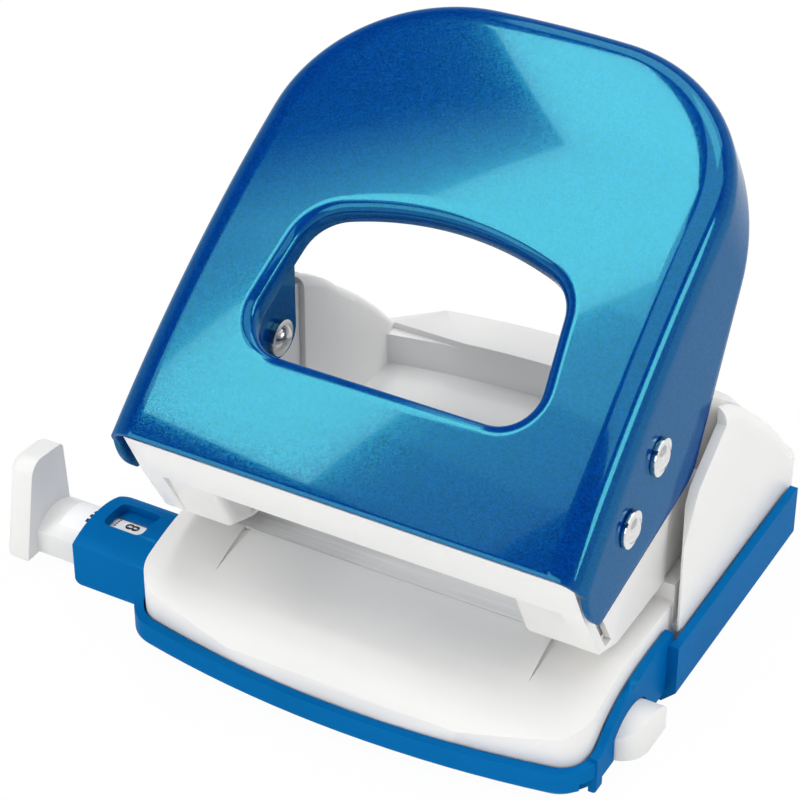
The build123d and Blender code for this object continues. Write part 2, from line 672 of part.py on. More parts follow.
def punch_head(side):
    """Driver block with a slot in which the drive pin slides."""
    block = box_between(
        (-PUNCH_HEAD_X / 2, PUNCH_HEAD_X / 2),
        (-PUNCH_HEAD_Y / 2 + PIN_SHIFT / 2, PUNCH_HEAD_Y / 2 + PIN_SHIFT / 2),
        (PUNCH_HEAD_Z, DRIVE_Z + PUNCH_HEAD_ABOVE),
    )
    block = fillet(block.edges().filter_by(Axis.X), FLANGE_TIP_RADIUS)
    radius = DRIVE_DIAMETER / 2 + PIN_SLOT_GAP
    slot = SlotCenterToCenter(PIN_SHIFT, 2 * radius)
    cut = extrude(Plane.YZ.offset(-PUNCH_HEAD_X) * Pos(PIN_SHIFT / 2, DRIVE_Z) * slot, amount=2 * PUNCH_HEAD_X)
    return Pos(side * PUNCH_X, 0, 0) * (block - cut)


def helix_point(radius, rise, angle):
    """Point on the spring's centre line."""
    return Vector(radius * cos(angle), radius * sin(angle), rise * angle / (2 * pi))


def helix_tangent(radius, rise, angle):
    """Unit direction of the spring's centre line."""
    return Vector(-radius * sin(angle), radius * cos(angle), rise / (2 * pi)).normalized()


def spring(side):
    """Return spring as one unbroken tube, swept along quarter-turn biarcs."""
    low = BLOCK_TOP_Z + SPRING_SEAT_THICKNESS + SPRING_WIRE / 2 + SKIN_GAP
    high = PUNCH_HEAD_Z - SPRING_WIRE / 2 - SKIN_GAP
    rise = (high - low) / SPRING_TURNS
    radius = SPRING_MEAN_DIAMETER / 2
    arcs = []
    for quarter in range(4 * SPRING_TURNS):
        start = quarter * pi / 2
        end = start + pi / 2
        first, last = helix_point(radius, rise, start), helix_point(radius, rise, end)
        out, into = helix_tangent(radius, rise, start), helix_tangent(radius, rise, end)
        chord, both = last - first, out + into
        open_part = 2 * (1 - out.dot(into))
        reach = (-chord.dot(both) + sqrt(chord.dot(both) ** 2 + open_part * chord.dot(chord))) / open_part
        leave, arrive = first + out * reach, last - into * reach
        middle = (leave + arrive) * 0.5
        arcs.append(Edge.make_tangent_arc(first, out, middle))
        arcs.append(Edge.make_tangent_arc(middle, arrive - leave, last))
    path = Wire(arcs)
    section = Plane(origin=path @ 0, z_dir=path % 0) * Circle(SPRING_WIRE / 2)
    coil = sweep(section, path=path)
    steps = 24
    points = [helix_point(radius, rise, 2 * pi * k / steps) for k in range(steps * SPRING_TURNS + 1)]
    gap = min(
        (a - b).length - SPRING_WIRE
        for i, a in enumerate(points)
        for b in points[i + steps // 2:]
    )
    print("spring self gap", round(gap, 3))
    return Pos(side * PUNCH_X, 0, low) * coil


def spring_seat(side):
    """Washer between the guide block and the spring."""
    z = BLOCK_TOP_Z + SPRING_SEAT_THICKNESS / 2
    ring = Cylinder(SPRING_SEAT_DIAMETER / 2, SPRING_SEAT_THICKNESS)
    ring = ring - Cylinder(PUNCH_BODY_DIAMETER / 2 + SLIDE_GAP, 2 * SPRING_SEAT_THICKNESS)
    return Pos(side * PUNCH_X, 0, z) * ring


# Base


def front_plan(half_width, front_y, corner, rear_y):
    """Plan outline with a bowed front and rounded front corners."""
    sides = Polyline(
        (-half_width, front_y + DECK_FRONT_BOW), (-half_width, rear_y), (half_width, rear_y), (half_width, front_y + DECK_FRONT_BOW)
    )
    bow = ThreePointArc(sides @ 1, (0, front_y), sides @ 0)
    face = make_face(sides + bow)
    return fillet(face.vertices().sort_by(Axis.Y)[:2], corner)


def rear_plan(half_width, rear_y, front_y):
    """Plan outline of the rear housing with slanted rear corners."""
    inner = half_width - REAR_CORNER_WIDTH
    side_end = rear_y - REAR_BOW - REAR_CORNER_LENGTH
    sides = Polyline(
        (-inner, rear_y - REAR_BOW),
        (-half_width, side_end),
        (-half_width, front_y),
        (half_width, front_y),
        (half_width, side_end),
        (inner, rear_y - REAR_BOW),
    )
    bow = ThreePointArc(sides @ 1, (0, rear_y), sides @ 0)
    face = make_face(sides + bow)
    return fillet(face.vertices().sort_by(Axis.Y)[2:], REAR_CORNER_LENGTH / 2)


def deck_face(drop):
    """Side-view face under the deck: front ramp, crest, slope and flat."""
    rear_y = HOLE_MARGIN + STOP_WALL
    start = Line((DECK_FRONT_Y, BASE_BOTTOM_Z - FAR), (DECK_FRONT_Y, DECK_FRONT_Z - drop))
    ramp = ThreePointArc(
        start @ 1,
        (
            (DECK_FRONT_Y + DECK_CREST_Y) / 2 - DECK_CREST_BULGE / 2,
            (DECK_FRONT_Z + DECK_CREST_Z) / 2 + DECK_CREST_BULGE - drop,
        ),
        (DECK_CREST_Y, DECK_CREST_Z - drop),
    )
    slope = ThreePointArc(
        ramp @ 1,
        (
            (DECK_CREST_Y + DECK_FLAT_Y) / 2,
            (DECK_CREST_Z + DIE_TOP) / 2 + DECK_CREST_BULGE / 2 - drop,
        ),
        (DECK_FLAT_Y, DIE_TOP - drop),
    )
    rest = Polyline(slope @ 1, (rear_y, DIE_TOP - drop), (rear_y, BASE_BOTTOM_Z - FAR), start @ 0)
    return make_face(start + ramp + slope + rest)


def shoulder_block():
    """Right shoulder of the rear housing, rounded along its outer and inner edges."""
    lines = Polyline(
        (SHOULDER_END_Y, SKIRT_TOP_Z),
        (SHOULDER_START_Y, SKIRT_TOP_Z),
        (SHOULDER_START_Y, SHOULDER_TOP_Z),
    )
    upper = ThreePointArc(
        lines @ 1,
        (
            (SHOULDER_START_Y + SHOULDER_MID_Y) / 2,
            (SHOULDER_TOP_Z + SHOULDER_MID_Z) / 2 + SHOULDER_BULGE,
        ),
        (SHOULDER_MID_Y, SHOULDER_MID_Z),
    )
    lower = ThreePointArc(
        upper @ 1,
        (
            (SHOULDER_MID_Y + SHOULDER_END_Y) / 2 + SHOULDER_BULGE,
            (SHOULDER_MID_Z + SKIRT_TOP_Z) / 2 + SHOULDER_BULGE,
        ),
        lines @ 0,
    )
    block = face_prism(make_face(lines + upper + lower), TROUGH_HALF_WIDTH, REAR_HALF_WIDTH)
    top = block.edges().filter_by(GeomType.CIRCLE)
    outer = top.sort_by(Axis.X)[-2:]
    block = fillet(outer, SHOULDER_OUTER_ROUND)
    inner = block.edges().filter_by(GeomType.CIRCLE).sort_by(Axis.X)[:2]
    return fillet(inner, SHOULDER_INNER_ROUND)


def pocket_cut():
    """Space beside the bridge into which the pressed lever side swings."""
    top = Vector(0, PANEL_TOP_Y, PANEL_TOP_Z) - PANEL_NORMAL * TOP_FLANGE_DEPTH
    lean = atan2(top.Z - FLANGE_HEEL_Z, top.Y - FLANGE_HEEL_Y)
    heel_arm = sqrt((FLANGE_HEEL_Y - PIVOT_Y) ** 2 + (FLANGE_HEEL_Z - PIVOT_Z) ** 2)
    heel_angle = atan2(FLANGE_HEEL_Z - PIVOT_Z, FLANGE_HEEL_Y - PIVOT_Y) - radians(LEVER_SWING)
    heel_y = PIVOT_Y + heel_arm * cos(heel_angle)
    heel_z = PIVOT_Z + heel_arm * sin(heel_angle)
    rise = lean - radians(LEVER_SWING)

    def edge_point(reach):
        drop = SWING_GAP
        return (heel_y + reach * cos(rise) + drop * sin(rise), heel_z + reach * sin(rise) - drop * cos(rise))

    outline = Polyline(
        (HOLE_MARGIN - CUT_OVERLAP, POCKET_FLOOR_Z),
        (POCKET_REAR_Y, POCKET_FLOOR_Z),
        (POCKET_REAR_Y + CUT_OVERLAP, POCKET_FLOOR_Z + POCKET_KNEE_RISE),
        (POCKET_REAR_Y - POCKET_HEAD_INSET, POCKET_FLOOR_Z + POCKET_HEAD_RISE),
        edge_point(POCKET_REACH),
        edge_point(3 * POCKET_REACH),
        (HOLE_MARGIN - CUT_OVERLAP, FAR),
        close=True,
    )
    return face_prism(make_face(outline), POCKET_X, REAR_HALF_WIDTH - POCKET_WALL)


def pocket_wall():
    """Right outer wall of the pocket, rising from the deck to the shoulder."""
    outline = Polyline(
        (WALL_FRONT_Y, SKIRT_TOP_Z),
        (WALL_FRONT_Y, WALL_FRONT_Z),
        (WALL_MID_Y, WALL_MID_Z),
        (SHOULDER_START_Y + CUT_OVERLAP, SHOULDER_TOP_Z - SHOULDER_OUTER_ROUND),
        (SHOULDER_START_Y + CUT_OVERLAP, SKIRT_TOP_Z),
        close=True,
    )
    wall = side_prism(outline, REAR_HALF_WIDTH - POCKET_WALL, REAR_HALF_WIDTH)
    return wall & box_between((0, FAR), (WALL_FRONT_Y, FAR), (SKIRT_TOP_Z, FAR))


def wall_lead():
    """Wedge cut behind the front edge of the pocket wall, so that it ends in a thin edge."""
    inner = REAR_HALF_WIDTH - POCKET_WALL
    plan = Polyline(
        (inner, WALL_FRONT_Y - CUT_OVERLAP),
        (inner, WALL_FRONT_Y + WALL_LEAD),
        (REAR_HALF_WIDTH - WALL_LAND, WALL_FRONT_Y),
        (REAR_HALF_WIDTH - WALL_LAND, WALL_FRONT_Y - CUT_OVERLAP),
        close=True,
    )
    return plan_prism(make_face(plan), SKIRT_TOP_Z, FAR)


def corner_fall():
    """Half space above the slanted face at the right rear corner of the plateau."""
    turn, fall = radians(CORNER_EDGE_TURN), radians(CORNER_EDGE_FALL)
    slope = Plane(
        origin=(REAR_HALF_WIDTH - REAR_CORNER_WIDTH, REAR_END_Y - REAR_BOW, PLATEAU_Z),
        z_dir=(sin(fall) * cos(turn), sin(fall) * sin(turn), cos(fall)),
    )
    return slope * Pos(0, 0, FAR / 2) * Box(FAR, FAR, FAR)


def guide_groove(x):
    """Pointed groove pressed into the deck in front of a punch."""
    tip_y = DECK_FLAT_Y - GROOVE_LENGTH + GROOVE_RUN_IN
    plan = make_face(
        Polyline(
            (x, tip_y),
            (x + GROOVE_WIDTH / 2, tip_y + GROOVE_LENGTH),
            (x - GROOVE_WIDTH / 2, tip_y + GROOVE_LENGTH),
            close=True,
        )
    )
    return plan_prism(plan, BASE_BOTTOM_Z, FAR) - face_prism(deck_face(GROOVE_DEPTH), -FAR, FAR)


def die_outline(grow):
    """Plan outline of the die plate."""
    length = HOLE_MARGIN - DIE_FRONT_Y
    sketch = RectangleRounded(2 * DIE_HALF_WIDTH + 2 * grow, length + 2 * grow, DIE_CORNER_RADIUS)
    return Pos(0, (HOLE_MARGIN + DIE_FRONT_Y) / 2 - SKIN_GAP) * sketch


def base_shell():
    """White base: deck, paper stop, rear housing with shoulders, trough and plateau."""
    stop_rear = HOLE_MARGIN + STOP_WALL
    deck_plan = front_plan(DECK_HALF_WIDTH, DECK_FRONT_Y, DECK_CORNER_RADIUS, stop_rear)
    deck = face_prism(deck_face(0), -FAR, FAR) & plan_prism(deck_plan, BASE_BOTTOM_Z, FAR)
    upper_plan = rear_plan(REAR_HALF_WIDTH, REAR_END_Y, HOLE_MARGIN)
    upper = plan_prism(upper_plan, BASE_BOTTOM_Z, POCKET_FLOOR_Z)
    shoulders = both_sides(shoulder_block()) & plan_prism(upper_plan, SKIRT_TOP_Z, FAR)
    plateau = plan_prism(upper_plan, SKIRT_TOP_Z, PLATEAU_Z) & box_between(
        (-TROUGH_HALF_WIDTH, TROUGH_HALF_WIDTH), (PLATEAU_FRONT_Y, FAR), (SKIRT_TOP_Z, PLATEAU_Z)
    )
    rear = upper + plateau - both_sides(corner_fall())
    body = deck + rear + shoulders + both_sides(pocket_wall())
    front_trough = box_between(
        (-FRAME_OUTER_X - SLIDE_GAP, FRAME_OUTER_X + SLIDE_GAP),
        (stop_rear, SHOULDER_START_Y),
        (TROUGH_FLOOR_Z, FAR),
    )
    bay = Polyline(
        (-TROUGH_HALF_WIDTH, PLATEAU_FRONT_Y - PLATEAU_FRONT_BOW),
        (-TROUGH_HALF_WIDTH, stop_rear),
        (TROUGH_HALF_WIDTH, stop_rear),
        (TROUGH_HALF_WIDTH, PLATEAU_FRONT_Y - PLATEAU_FRONT_BOW),
    )
    bay_end = ThreePointArc(bay @ 1, (0, PLATEAU_FRONT_Y + PLATEAU_FRONT_BOW / 2), bay @ 0)
    rear_trough = plan_prism(make_face(bay + bay_end), TROUGH_FLOOR_Z, FAR)
    body = body - front_trough - rear_trough - both_sides(pocket_cut()) - both_sides(wall_lead())
    stop = box_between(
        (-COVER_INNER_X + SLIDE_GAP, COVER_INNER_X - SLIDE_GAP),
        (HOLE_MARGIN, stop_rear),
        (TROUGH_FLOOR_Z - CUT_OVERLAP, BLOCK_BOTTOM_Z + CUT_OVERLAP),
    )
    body = body + stop
    deck_hollow = face_prism(deck_face(DECK_WALL), -FAR, FAR) & plan_prism(
        front_plan(
            DECK_HALF_WIDTH - DECK_WALL, DECK_FRONT_Y + DECK_WALL, DECK_CORNER_RADIUS - DECK_WALL, stop_rear
        ),
        BASE_BOTTOM_Z - CUT_OVERLAP,
        FAR,
    )
    rear_hollow = plan_prism(
        rear_plan(REAR_HALF_WIDTH - DECK_WALL, REAR_END_Y - DECK_WALL, HOLE_MARGIN + DECK_WALL),
        BASE_BOTTOM_Z - CUT_OVERLAP,
        TROUGH_FLOOR_Z - DECK_WALL,
    )
    hinge_bay = box_between(
        (-HINGE_BAY_X, HINGE_BAY_X),
        (HINGE_Y - HINGE_BAY_Y, HINGE_Y + HINGE_BAY_Y),
        (TROUGH_FLOOR_Z - DECK_WALL - CUT_OVERLAP, PLATEAU_Z - DECK_WALL),
    )
    passage = box_between(
        (DECK_WALL - DECK_HALF_WIDTH, DECK_HALF_WIDTH - DECK_WALL),
        (0, HOLE_MARGIN + 2 * DECK_WALL),
        (BASE_BOTTOM_Z - CUT_OVERLAP, TROUGH_FLOOR_Z - DECK_WALL),
    )
    body = body - deck_hollow - rear_hollow - hinge_bay - passage
    tail_plan = upper_plan - rear_plan(REAR_HALF_WIDTH - DECK_WALL, REAR_END_Y - DECK_WALL, -FAR)
    tail = plan_prism(tail_plan, REAR_WALL_BOTTOM_Z, SKIRT_TOP_Z + CUT_OVERLAP) & box_between(
        (-REAR_WALL_X, REAR_WALL_X), (HINGE_Y, FAR), (0, FAR)
    )
    body = body + tail
    for side in (-1, 1):
        for x in (HINGE_LUG_X - HINGE_LUG_WIDTH, HINGE_LUG_X + HINGE_LUG_WIDTH):
            lug = box_between(
                (side * x - HINGE_LUG_WIDTH / 2 + SLIDE_GAP, side * x + HINGE_LUG_WIDTH / 2 - SLIDE_GAP),
                (HINGE_Y - HINGE_RING, HINGE_Y + HINGE_RING),
                (HINGE_Z - HINGE_RING, PLATEAU_Z - CUT_OVERLAP),
            )
            body = body + lug
        boss = Pos(side * FRAME_SCREW_X, FRAME_SCREW_Y, TROUGH_FLOOR_Z - SCREW_LENGTH / 2 - CUT_OVERLAP) * Cylinder(
            BOSS_DIAMETER / 2, SCREW_LENGTH
        )
        pilot = Pos(side * FRAME_SCREW_X, FRAME_SCREW_Y, TROUGH_FLOOR_Z) * Cylinder(
            SCREW_DIAMETER / 2 + SKIN_GAP / 2, 2 * SCREW_LENGTH
        )
        body = body + boss - pilot
        body = body - guide_groove(side * GROOVE_X)
        body = body - Pos(side * PUNCH_X, 0, DIE_TOP) * Cylinder(HOLE_DIAMETER, 4 * DECK_WALL)
    body = body - rod_along_x(HINGE_DIAMETER + 2 * RUNNING_FIT, -FAR, FAR, HINGE_Y, HINGE_Z)
    body = body - plan_prism(die_outline(SKIN_GAP), DIE_TOP - DIE_THICKNESS, FAR) + stop
    rail_gate = box_between(
        (-FAR, FAR), (RAIL_FRONT_Y - SWING_GAP, RAIL_REAR_Y + SWING_GAP), (0, RAIL_TOP_Z + SWING_GAP)
    )
    return body - rail_gate


def die_plate():
    """Steel strip in the deck with the two die holes."""
    plate = plan_prism(die_outline(0), DIE_TOP - DIE_THICKNESS, DIE_TOP)
    for x in (-PUNCH_X, PUNCH_X):
        plate = plate - Pos(x, 0, DIE_TOP) * Cylinder(HOLE_DIAMETER / 2 + RUNNING_FIT, 4 * DIE_THICKNESS)
    return plate


def frame_screws():
    """Two pan-head screws with a cross recess that hold the frame to the base."""
    seat = TROUGH_FLOOR_Z + FRAME_SHEET
    shank = Pos(0, 0, -SCREW_LENGTH / 2) * Cylinder(SCREW_DIAMETER / 2, SCREW_LENGTH)
    head = rivet_head(SCREW_HEAD_DIAMETER, SCREW_HEAD_HEIGHT)
    recess = Box(SCREW_HEAD_DIAMETER / 2, SCREW_HEAD_DIAMETER / 8, SCREW_HEAD_HEIGHT)
    cross = recess + Rot(0, 0, 90) * recess
    screw = shank + head - Pos(0, 0, SCREW_HEAD_HEIGHT) * cross
    return Compound([Pos(x, FRAME_SCREW_Y, seat) * screw for x in (-FRAME_SCREW_X, FRAME_SCREW_X)])


def pivot_washers():
    """Two thin washers between the lever sides and the bridge cover."""
    inner = side_x(PIVOT_Y, PIVOT_Z) - SHEET - HEAD_GAP - WASHER_THICKNESS
    ring = rod_along_x(WASHER_DIAMETER, inner, inner + WASHER_THICKNESS, PIVOT_Y, PIVOT_Z)
    return both_sides(ring - rod_along_x(PIVOT_DIAMETER + SKIN_GAP, 0, FAR, PIVOT_Y, PIVOT_Z))


# Chip tray


def tray_height_face():
    """Side-view face under the tray rim: low in front, rising slowly along the sides."""
    rise = Spline(
        (TRAY_RISE_START_Y, TRAY_LIP_FRONT_Z),
        (TRAY_RISE_MID_Y, TRAY_RISE_MID_Z),
        (TRAY_RISE_END_Y, TRAY_LIP_SIDE_Z),
        tangents=((1, 0), (1, 0)),
    )
    rest = Polyline(
        rise @ 1,
        (FAR, TRAY_LIP_SIDE_Z),
        (FAR, -CUT_OVERLAP),
        (-FAR, -CUT_OVERLAP),
        (-FAR, TRAY_LIP_FRONT_Z),
        rise @ 0,
    )
    return make_face(rise + rest)


def wing():
    """Right wing of the tray, outside the rear housing."""
    foot_x = WING_OUTER_X - TRAY_FOOT_CHAMFER
    section = Polyline(
        (WING_OUTER_X, WING_TOP_Z),
        (WING_OUTER_X, TRAY_FOOT_CHAMFER),
        (foot_x, 0),
        (DECK_HALF_WIDTH - DECK_WALL, 0),
        (DECK_HALF_WIDTH - DECK_WALL, TRAY_FLOOR),
        (WING_INNER_X - TRAY_INNER_CHAMFER, TRAY_FLOOR),
        (WING_INNER_X, TRAY_FLOOR + TRAY_INNER_CHAMFER),
        (WING_INNER_X, WING_TOP_Z),
        close=True,
    )
    fin = extrude(Plane.XZ * make_face(section), amount=WING_END_Y - WING_START_Y, dir=(0, 1, 0))
    fin = Pos(0, WING_START_Y, 0) * fin
    fin = fin - box_between((0, WING_INNER_X), (WING_FLOOR_END_Y, FAR), (-CUT_OVERLAP, FAR))
    step = box_between(
        (DECK_HALF_WIDTH + TRAY_GAP, WING_OUTER_X),
        (WING_START_Y, WING_START_Y + WING_STEP),
        (TRAY_FOOT_CHAMFER, WING_TOP_Z),
    )
    return fin + step


def rail_face(grow):
    """Cross-section of the rail with its rounded top, in Y and Z."""
    front, rear = RAIL_FRONT_Y - grow, RAIL_REAR_Y + grow
    low, side = RAIL_BOTTOM_Z - grow, RAIL_SIDE_Z + grow / 2
    sides = Polyline((front, side), (front, low), (rear, low), (rear, side))
    top = ThreePointArc(sides @ 1, ((front + rear) / 2, RAIL_TOP_Z + grow), sides @ 0)
    return make_face(sides + top)


def rail_housing():
    """Sleeve on the left of the tray through which the guide rail slides."""
    sides = Polyline(
        (HOUSING_FRONT_Y, HOUSING_FRONT_Z),
        (HOUSING_FRONT_Y, HOUSING_BOTTOM_Z),
        (HOUSING_REAR_Y, HOUSING_BOTTOM_Z),
        (HOUSING_REAR_Y, HOUSING_FRONT_Z),
    )
    top = ThreePointArc(sides @ 1, ((HOUSING_FRONT_Y + HOUSING_REAR_Y) / 2, HOUSING_TOP_Z), sides @ 0)
    block = face_prism(make_face(sides + top), HOUSING_LEFT_X, -TRAY_HALF_WIDTH + TRAY_WALL)
    foot = block.edges().filter_by(Axis.Y).group_by(Axis.Z)[0].sort_by(Axis.X)[0]
    block = fillet(foot, HOUSING_FOOT_ROUND)
    corner = block.edges().filter_by(Axis.Z).sort_by(Axis.X)[:2].sort_by(Axis.Y)[-1]
    block = fillet(corner, HOUSING_CORNER_ROUND)
    window = box_between(
        (WINDOW_LEFT_X, WINDOW_RIGHT_X),
        (RAIL_FRONT_Y + WINDOW_MARGIN_Y, RAIL_REAR_Y - WINDOW_MARGIN_Y / 2),
        (RAIL_TOP_Z, FAR),
    )
    window = fillet(window.edges().filter_by(Axis.Z), WINDOW_ROUND)
    return block - window


def release_finger():
    """Small finger at the right front corner of the tray, by which the tray is pulled open."""
    blade = box_between(
        (TRAY_HALF_WIDTH - FINGER_DEPTH, TRAY_HALF_WIDTH),
        (FINGER_FRONT_Y, FINGER_FRONT_Y + FINGER_WIDTH),
        (FINGER_BOTTOM_Z, FINGER_TOP_Z),
    )
    foot = blade.edges().filter_by(Axis.Y).group_by(Axis.Z)[0].sort_by(Axis.X)[-1]
    return fillet(foot, FINGER_ROUND)


def finger_notch():
    """Gap in the rim in front of the release finger."""
    return box_between(
        (TRAY_HALF_WIDTH - FINGER_NOTCH_DEPTH, FAR),
        (FINGER_FRONT_Y - FINGER_NOTCH, FINGER_FRONT_Y),
        (-CUT_OVERLAP, FINGER_NOTCH_Z),
    )


def chip_tray():
    """Blue tray: floor, rising rim, wings, rail sleeve and hinge arms."""
    rear_y = WING_START_Y + WING_STEP
    outer = plan_prism(front_plan(TRAY_HALF_WIDTH, TRAY_FRONT_Y, TRAY_CORNER_RADIUS, rear_y), 0, FAR)
    foot = outer.faces().sort_by(Axis.Z)[0].edges().sort_by(Axis.Y)[:-1]
    outer = chamfer(foot, TRAY_FOOT_CHAMFER)
    inner_plan = front_plan(
        DECK_HALF_WIDTH + TRAY_GAP, DECK_FRONT_Y - TRAY_GAP, DECK_CORNER_RADIUS + TRAY_GAP, rear_y + CUT_OVERLAP
    )
    inner = plan_prism(inner_plan, TRAY_FLOOR, FAR)
    foot = inner.faces().sort_by(Axis.Z)[0].edges().sort_by(Axis.Y)[:-1]
    inner = chamfer(foot, TRAY_INNER_CHAMFER)
    floor = box_between(
        (-DECK_HALF_WIDTH + DECK_WALL - CUT_OVERLAP, DECK_HALF_WIDTH - DECK_WALL + CUT_OVERLAP),
        (WING_START_Y, TRAY_FLOOR_END_Y),
        (0, TRAY_FLOOR),
    )
    tray = (outer - inner) & face_prism(tray_height_face(), -FAR, FAR)
    tray = tray + floor + both_sides(wing())
    tray = tray - finger_notch() + release_finger()
    tray = tray + rail_housing()
    tunnel = face_prism(rail_face(SLIDE_GAP), -FAR, FAR)
    tray = tray - tunnel
    for side in (-1, 1):
        arm = face_prism(
            make_face(
                Polyline(
                    (HINGE_Y - HINGE_ARM_REACH, 0),
                    (HINGE_Y - HINGE_ARM_REACH + HINGE_ARM_FOOT, 0),
                    (HINGE_Y + HINGE_RING * HINGE_ARM_SHARE, HINGE_Z - HINGE_RING * HINGE_ARM_SHARE),
                    (HINGE_Y - HINGE_RING, HINGE_Z + SLIDE_GAP / 2),
                    close=True,
                )
            ),
            side * HINGE_LUG_X - HINGE_LUG_WIDTH / 2,
            side * HINGE_LUG_X + HINGE_LUG_WIDTH / 2,
        )
        ring = rod_along_x(
            2 * HINGE_RING,
            side * HINGE_LUG_X - HINGE_LUG_WIDTH / 2,
            side * HINGE_LUG_X + HINGE_LUG_WIDTH / 2,
            HINGE_Y,
            HINGE_Z,
        )
        tray = tray + arm + ring
    return tray - rod_along_x(HINGE_DIAMETER, -FAR, FAR, HINGE_Y, HINGE_Z)


def tray_hinge_pin():
    """Steel pin on which the tray swings."""
    half = HINGE_LUG_X + 1.5 * HINGE_LUG_WIDTH - SLIDE_GAP
    return rod_along_x(HINGE_DIAMETER, -half, half, HINGE_Y, HINGE_Z)


# Guide rail


def guide_rail():
    """White rail with its upright stop plate, a foot tab and a rounded right end."""
    bar = face_prism(rail_face(0), STOP_FACE_X - CUT_OVERLAP, RAIL_RIGHT_X)
    end = bar.edges().filter_by(Axis.Z).sort_by(Axis.X)[-2:].sort_by(Axis.Y)[0]
    bar = fillet(end, RAIL_END_ROUND)
    outline = make_face(
        Polyline(
            (STOP_FRONT_Y, STOP_BOTTOM_Z),
            (STOP_FRONT_Y + STOP_LEAN, STOP_FRONT_Z),
            (STOP_REAR_Y - STOP_REAR_LEAN, STOP_TOP_Z),
            (STOP_REAR_Y, STOP_BOTTOM_Z),
            close=True,
        )
    )
    brow = outline.vertices().sort_by(Axis.Y)[-2:].sort_by(Axis.X)
    outline = fillet(brow[0], STOP_FRONT_ROUND)
    rear_brow = outline.vertices().sort_by_distance((STOP_REAR_Y - STOP_REAR_LEAN, STOP_TOP_Z, 0))[0]
    outline = fillet(rear_brow, STOP_REAR_ROUND)
    plate = face_prism(outline, STOP_FACE_X - STOP_THICKNESS, STOP_FACE_X)
    outer_face = plate.faces().sort_by(Axis.X)[0]
    plate = fillet(outer_face.edges(), STOP_ROUND)
    tab = box_between(
        (STOP_FACE_X - CUT_OVERLAP, STOP_FACE_X + STOP_FOOT),
        (RAIL_FRONT_Y + CUT_OVERLAP, RAIL_FRONT_Y + CUT_OVERLAP + STOP_FOOT),
        (STOP_BOTTOM_Z - CUT_OVERLAP, RAIL_BOTTOM_Z + CUT_OVERLAP),
    )
    recess = face_prism(rail_face(0), STOP_FACE_X + STOP_FOOT, LABEL_END_X) - face_prism(
        rail_face(-LABEL_THICKNESS), -FAR, FAR
    )
    recess = recess & box_between(
        (-FAR, FAR), (RAIL_FRONT_Y + LABEL_MARGIN, RAIL_REAR_Y - LABEL_MARGIN), (RAIL_SIDE_Z, FAR)
    )
    return bar + plate + tab - recess


def format_label():
    """Printed strip let into the top of the rail."""
    strip = face_prism(rail_face(0), STOP_FACE_X + STOP_FOOT, LABEL_END_X) - face_prism(
        rail_face(-LABEL_THICKNESS), -FAR, FAR
    )
    return strip & box_between(
        (-FAR, FAR), (RAIL_FRONT_Y + LABEL_MARGIN, RAIL_REAR_Y - LABEL_MARGIN), (RAIL_SIDE_Z, FAR)
    )


# Write every piece to its own file
PIECES = {
    "lever_shell": lever_shell,
    "pivot_rivets": pivot_rivets,
    "pivot_washers": pivot_washers,
    "drive_pins": drive_pins,
    "drive_clips": drive_clips,
    "bridge_cover": bridge_cover,
    "bridge_frame": bridge_frame,
    "base_shell": base_shell,
    "die_plate": die_plate,
    "frame_screws": frame_screws,
    "chip_tray": chip_tray,
    "tray_hinge_pin": tray_hinge_pin,
    "guide_rail": guide_rail,
    "format_label": format_label,
}
SIDED_PIECES = {
    "guide_bush": guide_bush,
    "punch": punch,
    "punch_head": punch_head,
    "spring": spring,
    "spring_seat": spring_seat,
}

os.makedirs("parts", exist_ok=True)
for name, make in PIECES.items():
    export_step(make(), f"parts/{name}.step")
for name, make in SIDED_PIECES.items():
    export_step(make(-1), f"parts/left_{name}.step")
    export_step(make(1), f"parts/right_{name}.step")
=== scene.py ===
import math

import bmesh
import bpy
import numpy as np
from bpy.props import FloatProperty, FloatVectorProperty, IntProperty, PointerProperty, StringProperty
from mathutils import Matrix, Vector


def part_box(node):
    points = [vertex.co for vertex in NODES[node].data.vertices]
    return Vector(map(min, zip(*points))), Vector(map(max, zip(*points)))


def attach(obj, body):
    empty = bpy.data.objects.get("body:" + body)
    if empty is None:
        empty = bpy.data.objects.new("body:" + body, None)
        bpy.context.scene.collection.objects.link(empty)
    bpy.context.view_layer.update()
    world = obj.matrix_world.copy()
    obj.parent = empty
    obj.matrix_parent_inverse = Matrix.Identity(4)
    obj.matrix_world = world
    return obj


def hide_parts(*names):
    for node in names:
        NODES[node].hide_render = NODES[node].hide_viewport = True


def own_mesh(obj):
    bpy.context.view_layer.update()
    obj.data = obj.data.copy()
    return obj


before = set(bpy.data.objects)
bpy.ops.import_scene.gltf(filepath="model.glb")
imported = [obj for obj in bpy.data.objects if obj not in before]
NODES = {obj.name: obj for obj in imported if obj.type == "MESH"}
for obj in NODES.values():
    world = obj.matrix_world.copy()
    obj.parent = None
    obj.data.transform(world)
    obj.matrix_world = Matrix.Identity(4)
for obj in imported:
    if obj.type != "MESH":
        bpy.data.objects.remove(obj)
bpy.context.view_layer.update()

bl_info = {
    "name": "Paper punch looks",
    "version": (1, 0, 0),
    "blender": (4, 5, 0),
    "location": "3D View > Sidebar > Punch",
    "description": "Dresses a packed two-hole paper punch: lacquered lever, mouldings, steel and label",
    "category": "Object",
}

FLOAT = "NodeSocketFloat"
WHOLE = "NodeSocketInt"
VECTOR = "NodeSocketVector"
COLOUR = "NodeSocketColor"
GEOMETRY = "NodeSocketGeometry"
MATERIAL = "NodeSocketMaterial"

